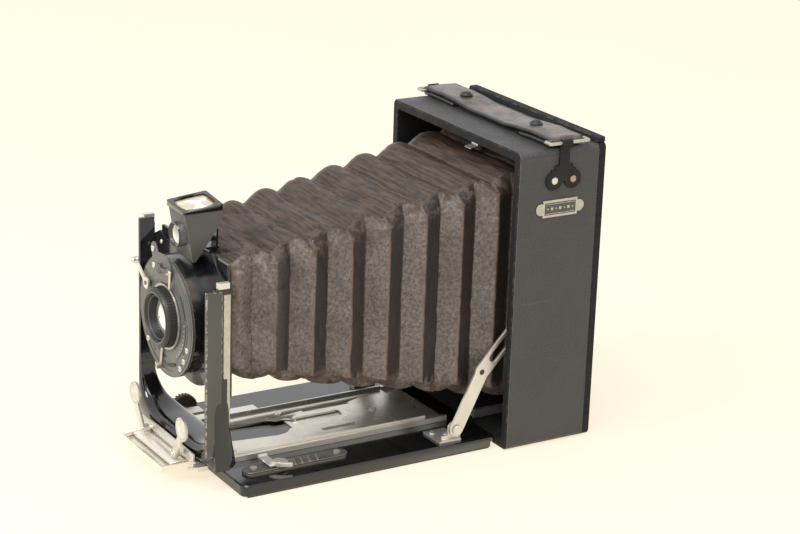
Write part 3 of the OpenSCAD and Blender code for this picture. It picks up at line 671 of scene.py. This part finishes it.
def from_ridge(y):
    """Distance to the nearest ridge of the sides, positive on the slope that faces the back."""
    along = (y - RIDGE_Y) % PLEAT
    return along if along < PLEAT / 2 else along - PLEAT


def fold_depth(y):
    """How deep the pleats are: shallower inside the body, and flat where the ends are glued."""
    inside = 1 - 0.55 * held((y - MOUTH_Y) / (25 * MM))
    return inside * held(min((GATE_Y - y) / (6 * MM), (y - END_Y) / (5 * MM)))


def flats_at(y, quarter):
    """Half width, half height and middle of the tube, and its four flats, each from start to end."""
    half, low, high, cut = (between_ends(y, *ends) for ends in (HALF_WIDTH, FLOOR_Z, ROOF_Z, CORNER_CUT))
    roof_out = ROOF_RISE * roof_wave(y) * fold_depth(y)
    if quarter == 3:
        roof_out *= UNDERSIDE_SHARE
    wide, tall = half + SIDE_RISE * fold_wave(y) * fold_depth(y), (high - low) / 2
    return half, tall, (high + low) / 2, [
        ((wide, -tall + cut), (wide, tall - cut)),
        ((half - cut, tall + roof_out), (cut - half, tall + roof_out)),
        ((-wide, tall - cut), (-wide, cut - tall)),
        ((cut - half, -tall - roof_out), (half - cut, -tall - roof_out)),
    ]


def outward_at(x, height, half, tall):
    """The way out of the leather: straight out of a flat, and turning only near a corner."""
    share = Vector((x / half, 0, height / tall))
    outward = Vector((math.copysign(abs(share.x) ** 6, x), 0, math.copysign(abs(share.z) ** 6, height)))
    if outward.length > 1e-6:
        outward.normalize()
    return outward


def ripple_at(x, y, z):
    """Unevenness in millimetres: soft ripples and sharp creases, both stronger towards the lens."""
    front = held((MOUTH_Y - 60 * MM - y) / (80 * MM))
    soft = 0.5 * noise.noise(Vector((x, y, z)) * 45)
    slanting = (0.3 + 1.5 * front) * noise.noise(Vector((x * 40, y * 95 + z * 28, z * 34)))
    crumple = abs(noise.noise(Vector((x * 25, y * 48 + z * 36, z * 22 - y * 12))))
    return soft + slanting - (0.5 + 1.1 * front) * max(0, 1 - crumple * 9) ** 2


def bellows_point(u, y):
    """Place and marks of the point at a share u of the way round, at a distance y along."""
    depth = fold_depth(y)
    quarter = min(int(u * 4), 3)
    on_side = quarter in (0, 2)
    half, tall, centre, flats = flats_at(y, quarter)
    step, flat = u * 4 - quarter, FLAT_STEPS / QUARTER_STEPS
    start, end = flats[quarter]
    corner, share = 0.0, step / flat
    if step > flat:
        start, end = end, flats[(quarter + 1) % 4][0]
        corner, share = 1.0, (step - flat) / (1 - flat)
    is_roof = not on_side and not corner
    x = start[0] + (end[0] - start[0]) * share
    z = centre + start[1] + (end[1] - start[1]) * share
    gap = from_ridge(y)
    # fold: lines along the ridges of the sides, which are rubbed, and along the grooves of the top, where a
    # highlight is painted
    fold = max(0, 1 - abs(gap) / RIDGE_WIDTH) * (1 if on_side else 0.75)
    smooth = held((y - END_Y - 6 * MM) / (26 * MM))
    # painted shade: rear is 1 on the slopes of the side pleats that face the back, faded out near the glued
    # ends
    rear = held(gap / BACK_SHADE_FADE) * min(depth, smooth) if on_side else 0.0
    if not corner:
        near_end = min(share, 1 - share) * (2 * (tall if on_side else half))
        corner = max(0, 1 - near_end / CORNER_FADE)
    crease = 0.7 * math.exp(-(((z - centre + 7 * MM) / (1.6 * MM)) ** 2)) if on_side else 0
    sag = -0.5 * math.exp(-((share - 0.5) / 0.3) ** 2) if is_roof else 0
    stands_out = ripple_at(x, y, z) * min(depth * 1.5, 1) - crease * depth + sag * depth
    point = Vector((x, y, z)) + outward_at(x, z - centre, half, tall) * stands_out * MM
    return point, fold, corner, 1.0 if is_roof else 0.0, rear


def bellows_piece(name, y_front, y_back, finish, bodies, replaces):
    """One stretch of the pleated leather, closed round, which bends between two bodies."""
    rings = max(int(round((y_back - y_front) / RING_STEP)), 4)
    around = 4 * QUARTER_STEPS
    bm = bmesh.new()
    bmesh.ops.create_grid(bm, x_segments=around, y_segments=rings, size=0.5)
    # the rear mark carries painted shade for the back-facing slopes of the pleats
    marks = {key: bm.verts.layers.float.new(key) for key in ("fold", "corner", "roof", "rear")}
    for vert in bm.verts:
        u = held(vert.co.x + 0.5)
        y = y_front + (vert.co.y + 0.5) * (y_back - y_front)
        vert.co, *values = bellows_point(u, y)
        for key, value in zip(marks, values):
            vert[marks[key]] = value
    bmesh.ops.remove_doubles(bm, verts=bm.verts, dist=0.01 * MM)
    bmesh.ops.recalc_face_normals(bm, faces=bm.faces)
    outward = [f.normal.x * f.calc_center_median().x > 0 for f in bm.faces]
    if sum(outward) * 2 < len(outward):
        bmesh.ops.reverse_faces(bm, faces=bm.faces)
    piece = add_piece(name, bm, finish, None, replaces, sharp=46)
    thicken(piece, 0.9)
    middle = (BODY_LOW.z + BODY_HIGH.z) / 2
    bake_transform(piece, *bodies, start=(0, y_back, middle), end=(0, y_front, middle))


# ---- case, strap and fittings ----

def leather_case(finish):
    """The leather cover, bevelled, with its rounded long edges marked as worn."""
    bm = node_shape("case_leather")
    bevel_edges(bm, 0.3 * MM)
    wear = bm.faces.layers.float["wear"]
    for face in bm.faces:
        lean = max(abs(c) for c in face.normal)
        if lean < 0.96:
            face[wear] = max(face[wear], 0.75)
    stand_for("case_leather", "leather_cover", bm, finish, sharp=40)


def strap_path():
    """Middle line of the strap in X and Z from the fold under one end to the fold under the other."""
    end_x = BODY_HIGH.x - 3 * MM
    z = BODY_HIGH.z + 3.2 * MM
    top = z + 1.15 * MM
    fold = [(end_x - 27 * MM, z - 1.7 * MM), (end_x - 17 * MM, z - 1.3 * MM), (end_x - 6 * MM, z - 1.2 * MM)]
    turn = [(end_x + 1.55 * MM * math.cos(a), z - 0.05 * MM + 1.45 * MM * math.sin(a))
            for a in (-1.4, -0.7, 0, 0.7, 1.4)]
    back = [(end_x - 6 * MM, top + 0.05 * MM), (end_x - 17 * MM, top + 0.3 * MM),
            (end_x - 30 * MM, top - 0.5 * MM), (end_x - 42 * MM, top - 1.7 * MM), (0, top - 1.5 * MM)]
    right = fold + turn + back
    left = [(-x, h) for x, h in reversed(right[:-1])]
    return [Vector((x, 0, h)) for x, h in right + left]


def along_path(points, share):
    """The point a share of the way along a path."""
    lengths = [(b - a).length for a, b in zip(points, points[1:])]
    want = share * sum(lengths)
    for a, b, length in zip(points, points[1:], lengths):
        if want <= length:
            return a.lerp(b, want / length)
        want -= length
    return points[-1]


def carrying_strap(finish):
    """The leather strap as one bent sheet with ragged, thinned edges."""
    path = strap_path()
    width = STRAP_HIGH.y - STRAP_LOW.y
    middle = (STRAP_HIGH.y + STRAP_LOW.y) / 2
    bm = bmesh.new()
    bmesh.ops.create_grid(bm, x_segments=220, y_segments=14, size=0.5)
    edge = bm.verts.layers.float.new("edge")
    for vert in bm.verts:
        across = vert.co.y * 2
        spot = along_path(path, vert.co.x + 0.5)
        frayed = 1 + 0.035 * noise.noise(Vector((spot.x * 160, across * 2, 3)))
        y = middle + across * width / 2 * 0.97 * frayed
        cup = 0.35 * MM * across * across
        swell = 0.22 * MM * noise.noise(Vector((spot.x * 60, y * 90, 7)))
        vert.co = Vector((spot.x, y, spot.z - cup + swell))
        vert[edge] = abs(across)
    bmesh.ops.recalc_face_normals(bm, faces=bm.faces)
    strap = add_piece("carrying_strap_leather", bm, finish, "body", ["carrying_strap"],
                      sharp=180)
    thicken(strap, 1.7, 0)


def strap_snaps(finish):
    """Two domed black snaps through the strap."""
    low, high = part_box("strap_snaps")
    snap_x, y, foot = high.x - 4.4 * MM, (low.y + high.y) / 2, low.z + 0.1 * MM
    outline = [(0, -0.2), (3.5, -0.2), (3.5, 0.3), (3.3, 0.6), (2.8, 0.7), (2.6, 1.1), (2.0, 1.6),
               (1.0, 1.9), (0, 1.95)]
    shapes = [spun(outline, (side * snap_x, y, foot), (0, 0, 1), 40) for side in (-1, 1)]
    add_piece("snap_heads", shapes, finish, "body", ["strap_snaps"])


def bracket_rivets(bright, red):
    """Domed rivets in the strap brackets: the front one nickel, the rear one copper."""
    low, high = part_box("strap_rivets")
    z = (low.z + high.z) / 2
    radius = 1.9
    face_x = BODY_HIGH.x + 1 * MM
    front_y, rear_y = low.y + radius * MM, high.y - radius * MM
    for y, finish, name in ((front_y, bright, "rivets_nickel"), (rear_y, red, "rivets_copper")):
        shapes = [dome((side * face_x, y, z), (side, 0, 0), radius, 0.9) for side in (-1, 1)]
        replaced = ["strap_rivets"] if finish is bright else []
        add_piece(name, shapes, finish, "body", replaced)


def nameplate(finish, dull):
    """Blank cartouche: a rimmed plate with a sunk field, a line of beads and a pin at each end."""
    bm = node_shape("side_nameplate")
    bevel_edges(bm, 0.12 * MM)
    add_piece("nameplate_rim", bm, finish, "body", ["side_nameplate"])
    low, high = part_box("side_nameplate")
    face_x, y, z = high.x, (low.y + high.y) / 2, (low.z + high.z) / 2
    half_long, half_tall, pin_y = 9.4 * MM, 3.2 * MM, 11.4 * MM
    line_long, line_z, line_half = 8.8 * MM, 2.5 * MM, 0.15 * MM
    bead_step = 2.5 * MM
    field = slab((face_x - 0.02 * MM, y - half_long, z - half_tall),
                 (face_x + 0.04 * MM, y + half_long, z + half_tall), 0.02)
    add_piece("nameplate_field", field, dull, "body")
    shapes = [dome((face_x, y + side * pin_y, z), (1, 0, 0), 0.8, 0.35, 16) for side in (-1, 1)]
    for k in range(-3, 4):
        tall = 1.1 if k % 2 == 0 else 0.6
        shapes.append(spun([(0, 0), (tall, 0), (tall * 0.7, 0.2), (0, 0.28)],
                           (face_x, y + k * bead_step, z), (1, 0, 0), 4))
    for side in (-1, 1):
        line = z + side * line_z
        shapes.append(slab((face_x, y - line_long, line - line_half),
                           (face_x + 0.2 * MM, y + line_long, line + line_half), 0.05))
    add_piece("nameplate_beads", shapes, finish, "body")


# ---- shutter and finder ----

def ring_of_teeth(count, inner, outer, y0, y1):
    """A knurled ring about the lens axis, between two radii in millimetres."""
    bm = bmesh.new()
    segments, tooth = count * 2, 0.35
    lift = (0, 0, y1 - y0)
    bmesh.ops.create_circle(bm, cap_ends=False, radius=outer * MM, segments=segments)
    for vert in list(bm.verts)[1::2]:
        vert.co *= (outer - tooth) / outer
    rim = bm.edges[:]
    made = bmesh.ops.extrude_edge_only(bm, edges=rim)
    lifted = [v for v in made["geom"] if isinstance(v, bmesh.types.BMVert)]
    bmesh.ops.translate(bm, verts=lifted, vec=lift)
    low_ring = bmesh.ops.create_circle(bm, cap_ends=False, radius=inner * MM, segments=segments)["verts"]
    high_ring = bmesh.ops.create_circle(bm, cap_ends=False, radius=inner * MM, segments=segments,
                                        matrix=Matrix.Translation(lift))["verts"]
    inner_low, inner_high, outer_high = (
        [e for e in bm.edges if all(v in ring for v in e.verts)] for ring in (low_ring, high_ring, lifted))
    for pair in (rim + inner_low, outer_high + inner_high, inner_low + inner_high):
        bmesh.ops.bridge_loops(bm, edges=pair)
    bmesh.ops.rotate(bm, verts=bm.verts, cent=(0, 0, 0), matrix=Matrix.Rotation(-math.pi / 2, 3, "X"))
    bmesh.ops.translate(bm, verts=bm.verts, vec=(LENS.x, y0, LENS.z))
    bmesh.ops.recalc_face_normals(bm, faces=bm.faces)
    return bm


def arc_strip(radius, width, height, from_angle, to_angle):
    """A strip raised on the shutter's face along an arc about the lens; angles run from +X to +Z."""
    bm = bmesh.new()
    start, sweep = math.radians(from_angle), math.radians(to_angle - from_angle)
    near, far = radius - width / 2, radius + width / 2
    direction = Vector((math.cos(start), 0, math.sin(start)))
    verts = [bm.verts.new(LENS_FACE + direction * r * MM + Vector((0, h * MM, 0)))
             for r, h in ((near, 0), (near, -height), (far, -height), (far, 0))]
    section = bm.faces.new(verts)
    steps = max(int(abs(to_angle - from_angle) / 5), 4)
    bmesh.ops.spin(bm, geom=[section] + section.edges[:] + section.verts[:], cent=LENS_FACE,
                   axis=(0, -1, 0), angle=sweep, steps=steps, use_merge=False, use_duplicate=False)
    bmesh.ops.recalc_face_normals(bm, faces=bm.faces)
    return bm


def shutter_trim(bright, black, grey, edge):
    """Rings, slots and index marks on the face of the shutter."""
    outer_rim = spun([(30.62, 0.6), (30.62, -0.06), (30.48, -0.14), (30.3, -0.06), (30.3, 0.2)],
                     LENS_FACE, steps=96)
    rims = [outer_rim, arc_strip(26.9, 0.2, 0.08, -170, 60), arc_strip(17.4, 0.22, 0.1, -200, 70)]
    add_piece("shutter_rims", rims, edge, "lens_board")
    slots = [arc_strip(21.2, 1.5, 0.06, -118, -88), arc_strip(24.4, 1.3, 0.06, -84, -66),
             arc_strip(22.2, 1.1, 0.06, 12, 44)]
    add_piece("shutter_slots", slots, black, "lens_board")
    step_height, dot_ring = 0.35, 21.2 * MM
    raised = [arc_strip(20.4, 4.2, step_height, -58, 4), arc_strip(28.3, 1.2, 0.25, -150, 40)]
    add_piece("shutter_steps", raised, grey, "lens_board")
    dots = []
    for k in range(9):
        angle = math.radians(-52 + 7 * k)
        out = Vector((dot_ring * math.cos(angle), -step_height * MM, dot_ring * math.sin(angle)))
        dots.append(dome(LENS_FACE + out, (0, -1, 0), 0.35, 0.15, 8))
    add_piece("aperture_index", dots, bright, "lens_board")


def front_mount(black, dark):
    """Knurled ring and stepped bezel round the front glass."""
    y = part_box("front_cell")[0].y
    knurl = ring_of_teeth(60, 13.6, 15.15, y + 1.6 * MM, y + 4.4 * MM)
    add_piece("front_knurl", knurl, black, "lens_board")
    bezel = spun([(13.3, 0.0), (13.3, -0.35), (12.9, -0.45), (12.4, -0.3), (12.2, 0.4)],
                 (LENS.x, y + 0.1 * MM, LENS.z), steps=72)
    inner = spun([(11.3, 1.6), (11.2, 1.2), (10.9, 1.15), (10.6, 1.6)], (LENS.x, y, LENS.z), steps=72)
    add_piece("front_bezel", [bezel, inner], dark, "lens_board")


def scalloped(angle, half_x, half_y):
    """Outline of the finder's window: a rectangle with notched corners and bowed sides."""
    c, s = math.cos(angle), math.sin(angle)
    reach = 1 / max(abs(c) / half_x, abs(s) / half_y)
    diagonal = abs(math.sin(2 * angle)) ** 4
    return Vector((c, s, 0)) * reach * (1 - 0.13 * diagonal)


def boxed(angle, half_x, half_y):
    """The point of a rectangle's outline in one direction from its middle."""
    c, s = math.cos(angle), math.sin(angle)
    return Vector((c, s, 0)) / max(abs(c) / half_x, abs(s) / half_y)


def leaned(centre, flat, lift):
    """A point of the finder's top, which rises a little towards the back and the left."""
    return centre + flat + Vector((0, 0, lift + 1.8 * MM + 0.1 * flat.y - 0.09 * flat.x))


def finder_top(rim_finish, glass_finish):
    """Window frame on top of the finder with its notched opening, and the screen under it."""
    low, high = FINDER_LOW, FINDER_HIGH
    front_y = MOUTH_Y - 163 * MM
    centre = Vector(((low.x + high.x) / 2, (front_y + high.y) / 2, high.z))
    half_x, half_y = (high.x - low.x) / 2, (high.y - front_y) / 2
    overhang, inset, rim_lift, lip_drop = 0.7 * MM, 0.9 * MM, 0.25 * MM, 0.9 * MM
    bm = bmesh.new()
    outer = bmesh.ops.create_circle(bm, cap_ends=False, radius=1, segments=96)["verts"]
    inner = bmesh.ops.create_circle(bm, cap_ends=False, radius=0.5, segments=96)["verts"]
    for verts, outline, wider in ((outer, boxed, overhang), (inner, scalloped, -inset)):
        for vert in verts:
            angle = math.atan2(vert.co.y, vert.co.x)
            vert.co = leaned(centre, outline(angle, half_x + wider, half_y + wider), rim_lift)
    bmesh.ops.bridge_loops(bm, edges=bm.edges[:])
    face_towards(bm, (0, 0, 1))
    outer_edges = [e for e in bm.edges if e.is_boundary and (e.verts[0].co - centre).length > half_x]
    made = bmesh.ops.extrude_edge_only(bm, edges=outer_edges)
    for vert in (v for v in made["geom"] if isinstance(v, bmesh.types.BMVert)):
        vert.co.z = centre.z - lip_drop
        vert.co.x = centre.x + (vert.co.x - centre.x) * 0.985
    wear = bm.faces.layers.float.new("wear")
    for face in bm.faces:
        face[wear] = 0.0 if face.normal.z > 0.9 else 1.0
    bmesh.ops.recalc_face_normals(bm, faces=bm.faces)
    thicken(add_piece("finder_window_frame", bm, rim_finish, "finder"), 0.5)

    screen = bmesh.new()
    bmesh.ops.create_circle(screen, cap_ends=True, cap_tris=True, radius=1, segments=48)
    bmesh.ops.subdivide_edges(screen, edges=screen.edges[:], cuts=3, use_grid_fill=True)
    edge = screen.verts.layers.float.new("edge")
    crown, gap = 0.9, 0.5 * MM
    for vert in screen.verts:
        reach = min(vert.co.length, 1)
        angle = math.atan2(vert.co.y, vert.co.x)
        flat = boxed(angle, half_x - gap, half_y - gap) * reach
        vert.co = leaned(centre, flat, (-crown + crown * (1 - reach * reach)) * MM)
        vert[edge] = reach
    bmesh.ops.recalc_face_normals(screen, faces=screen.faces)
    thicken(add_piece("finder_screen", screen, glass_finish, "finder", sharp=180), 0.8)


def finder_lens(black, glass_finish):
    """Ringed front lens of the finder."""
    centre = ((FINDER_LOW.x + FINDER_HIGH.x) / 2, FINDER_LOW.y, 125 * MM)
    ring = spun([(6.4, 1.2), (6.4, -0.2), (6.1, -0.5), (5.5, -0.35), (5.2, 0.6), (5.2, 1.2)], centre,
                steps=56)
    add_piece("finder_lens_ring", ring, black, "finder")
    glass = spun([(0, -0.1), (1.8, 0.0), (3.6, 0.35), (5.3, 1.0), (5.3, 1.8), (0, 1.8)], centre)
    add_piece("finder_lens_glass", glass, glass_finish, "finder")


def panel_rivets(bright, brown):
    """Rivets on the lens panel, two at the right and one at the left ear."""
    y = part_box("lens_panel")[0].y
    right = [dome((x * MM, y, z * MM), (0, -1, 0), 1.6, 0.7) for x, z in ((32.5, 104.5), (37.5, 99))]
    add_piece("panel_rivets_brown", right, brown, "lens_board")
    left = [dome((-34 * MM, y, 107 * MM), (0, -1, 0), 1.2, 0.6)]
    add_piece("panel_rivet_ear", left, bright, "lens_board")


def cocking_tip(finish):
    """Forked, knurled finger piece at the end of the cocking lever."""
    low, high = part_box("cocking_lever")
    from_end = 1.7 * MM
    centre = Vector((low.x + from_end, low.y, high.z - from_end))
    shapes = []
    for lean in (-1, 1):
        spot = centre + Vector((lean * 1.25, 0, lean * 0.35)) * MM
        shapes.append(spun([(0, -0.4), (0.75, -0.4), (1.05, -0.1), (1.05, 0.9), (0.8, 1.3), (1.05, 1.7),
                            (1.05, 2.6), (0.7, 3.0), (0, 3.0)], spot, steps=16))
    add_piece("cocking_tip", shapes, finish, "cocking_lever")


def knurled_pad(name, side, body, finish):
    """Cross-knurled face on the round finger pad of a grip."""
    radius, pad_x, pad_z, sunk = 5.6 * MM, 27.4 * MM, 30.5 * MM, 0.18 * MM
    bm = bmesh.new()
    bmesh.ops.create_grid(bm, x_segments=17, y_segments=17, size=radius)
    bmesh.ops.poke(bm, faces=bm.faces[:], offset=0.22 * MM)
    far = [v for v in bm.verts if v.co.xy.length > radius * 0.97]
    bmesh.ops.delete(bm, geom=far, context="VERTS")
    for angle, axis in ((math.radians(45), "Z"), (math.pi / 2, "X")):
        bmesh.ops.rotate(bm, verts=bm.verts, cent=(0, 0, 0), matrix=Matrix.Rotation(angle, 3, axis))
    bmesh.ops.translate(bm, verts=bm.verts, vec=(side * pad_x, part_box(body)[0].y + sunk, pad_z))
    face_towards(bm, (0, -1, 0))
    thicken(add_piece(name, bm, finish, body, sharp=10), 0.15)


def standard_strip(finish):
    """Nickel guide strips on the back edges of the uprights."""
    back, foot, inner, outer = CROSS_HIGH.y, 22 * MM, 42 * MM, 43.75 * MM
    behind = back + 0.6 * MM
    right = slab((inner, back - 3 * MM, foot), (outer, behind, 103 * MM), 0.2)
    left = slab((-outer, back - 4 * MM, foot), (-inner, behind, 115 * MM), 0.2)
    add_piece("upright_strips", [right, left], finish, "carriage")


def yoke_casting(finish):
    """The rounded foot of the standard: slim where it meets the uprights, broad and deep between them."""
    front, back, foot_z = CROSS_LOW.y, CROSS_HIGH.y, CROSS_LOW.z
    inner_x, outer_x, widest = 41.5 * MM, 43.9 * MM, 44.5 * MM
    bend, centre_x, centre_z = 26 * MM, 15.5 * MM, 41 * MM
    skin, front_bulge, back_bulge, lip, squareness = 0.2 * MM, 2.2 * MM, 10 * MM, 5.5 * MM, 0.62
    stations = [(Vector((inner_x, 0, z * MM)), Vector((outer_x, 0, z * MM)), 0.0) for z in (60, 54, 48)]
    middle = Vector((centre_x, 0, centre_z))
    for step in range(13):
        angle = math.radians(90 - 7.5 * step)
        way = Vector((math.sin(angle), 0, -math.cos(angle)))
        reach = min((widest - centre_x) / max(way.x, 0.01), (centre_z - foot_z) / max(-way.z, 0.01))
        stations.append((middle + way * bend, middle + way * reach, math.cos(angle) ** 2 if step else 0.0))
    stations += [(Vector((-a.x, 0, a.z)), Vector((-b.x, 0, b.z)), deep) for a, b, deep in reversed(stations)]
    last = len(stations) - 1
    bm = bmesh.new()
    bmesh.ops.create_grid(bm, x_segments=24, y_segments=last, size=0.5)
    for vert in bm.verts:
        turn = (vert.co.x + 0.5) * math.tau
        inner, outer, deep = stations[round((vert.co.y + 0.5) * last)]
        across, along = (math.copysign(abs(v) ** squareness, v) for v in (math.cos(turn), math.sin(turn)))
        near, far = front - skin - front_bulge * deep, back + skin + back_bulge * deep
        lift = Vector((0, 0, lip * deep)) if across < 0 else Vector()
        spot = (inner + outer) / 2 + (outer - inner) * (across / 2) + lift * -across
        vert.co = Vector((spot.x, (near + far) / 2 + along * (far - near) / 2, spot.z))
    bmesh.ops.remove_doubles(bm, verts=bm.verts, dist=0.005 * MM)
    bmesh.ops.holes_fill(bm, edges=[e for e in bm.edges if e.is_boundary])
    bmesh.ops.recalc_face_normals(bm, faces=bm.faces)
    add_piece("yoke_casting", bm, finish, "carriage", sharp=60)


def upright_rib(finish):
    """Rib that stands forward on the outer face of the right upright."""
    front, half_deep = CROSS_LOW.y, 4.4 * MM
    rib = slab((41.7 * MM, front - half_deep, 20 * MM), (43.9 * MM, front + half_deep, 105 * MM), 0.6, 2)
    add_piece("upright_rib", rib, finish, "carriage")


# ---- the whole camera ----

def build_camera():
    """Finish every CAD node and add the pieces that the CAD leaves plain."""
    leather, matt, satin, shiny = leatherette(), matt_black(), satin_black(), lacquer()
    rubbed = grey_lacquer("rubbed_lacquer", (0.085, 0.083, 0.079), (0.13, 0.127, 0.121))
    darker = grey_lacquer("finder_lacquer", (0.06, 0.057, 0.053), (0.095, 0.09, 0.084))
    silver, red, bronze, dull = nickel(), copper(), knob_bronze(), aged_nickel()
    clear, screen, pleated = lens_glass(), finder_glass(), bellows_leather()

    leather_case(leather)
    for nodes, finish, edge in (
            ("case_shell", matt, 0.35), ("back_plate", matt, 0.4), ("bed_leather", leather, 0.15),
            ("hood_lid", hood_leather(), 0.25),
            ("holder_channel focusing_back iris_blades rear_cell front_cell", satin, 0.2),
            ("ground_glass", ground_glass(), 0.1), ("drop_bed", shiny, 0.6), ("lens_standard", shiny, 0.45),
            ("lens_panel", shiny, 0.2), ("finder_bracket", shiny, 0.15), ("bellows_front_frame", shiny, 0.3),
            ("strap_brackets", bracket_black(), 0.15), ("shutter_case", browned_lacquer(), 0.2),
            ("shutter_face", rubbed, 0.15), ("finder", darker, 0.25), ("focus_knob", bronze, 0.15),
            ("distance_scale", scale_enamel(), 0.12), ("front_glass", clear, 0.1),
            ("sliding_rail fixed_track carriage_base", rail_nickel(), 0.15),
            ("strap_loops aperture_lever", dull, 0.1), ("speed_lever", speed_nickel(), 0.12),
            ("tripod_bushes body_rails strut_studs bellows_hook hinge_leaf_body hinge_pin hinge_leaf_bed "
             "bed_bush strut_feet bed_screws focus_catch pinion_bearing strut_left strut_right "
             "pinion_shaft rail_screws carriage_plates grip_left grip_right standard_clips "
             "shutter_screws cocking_lever release_lever", silver, 0.12)):
        for node in nodes.split():
            dress(node, finish, edge)

    slim_pin("hood_hinge_pin", silver)
    bellows_piece("bellows_in_body", SEAM_1, GATE_Y, pleated, ("body", "bed"), ["bellows_rear"])
    bellows_piece("bellows_over_hinge", SEAM_2, SEAM_1, pleated, ("bed", "rail"), ["bellows_middle"])
    bellows_piece("bellows_over_rail", SEAM_3, SEAM_2, pleated, ("rail", "carriage"), ["bellows_front"])
    bellows_piece("bellows_at_lens", END_Y, SEAM_3, pleated, ("carriage", "lens_board"), [])

    carrying_strap(strap_leather())
    strap_snaps(satin)
    bracket_rivets(silver, red)
    nameplate(dull, darker)
    shutter_trim(silver, satin, rubbed, darker)
    front_mount(satin, darker)
    finder_top(shiny, screen)
    finder_lens(shiny, clear)
    panel_rivets(silver, bronze)
    cocking_tip(silver)
    knurled_pad("grip_pad_right", 1, "grip_right", dull)
    knurled_pad("grip_pad_left", -1, "grip_left", dull)
    standard_strip(dull)
    yoke_casting(shiny)
    upright_rib(darker)


def floor():
    """A wide sheet of pale paper that the camera stands on."""
    bm = bmesh.new()
    bmesh.ops.create_grid(bm, x_segments=1, y_segments=1, size=4)
    sheet = bpy.data.objects.new("floor", mesh_of(bm, "floor"))
    sheet.data.materials.append(pale_paper())
    bpy.context.scene.collection.objects.link(sheet)


bpy.context.scene.view_settings.view_transform = "Standard"
place_camera(azimuth=58.63, elevation=18.29, roll=1.92, place=(0.9312, -0.6242, 0.4469), lens=99.0)
light_room(colour=(0.99, 0.99, 1.0), strength=0.93)
softbox("key", place=(-0.1, -1.3, 0.75), target=(0, -0.08, 0.06), size=0.5, power=11)
softbox("top", place=(0.5, -0.5, 1.3), target=(0, -0.05, 0), size=0.8, power=8)
floor()
build_camera()
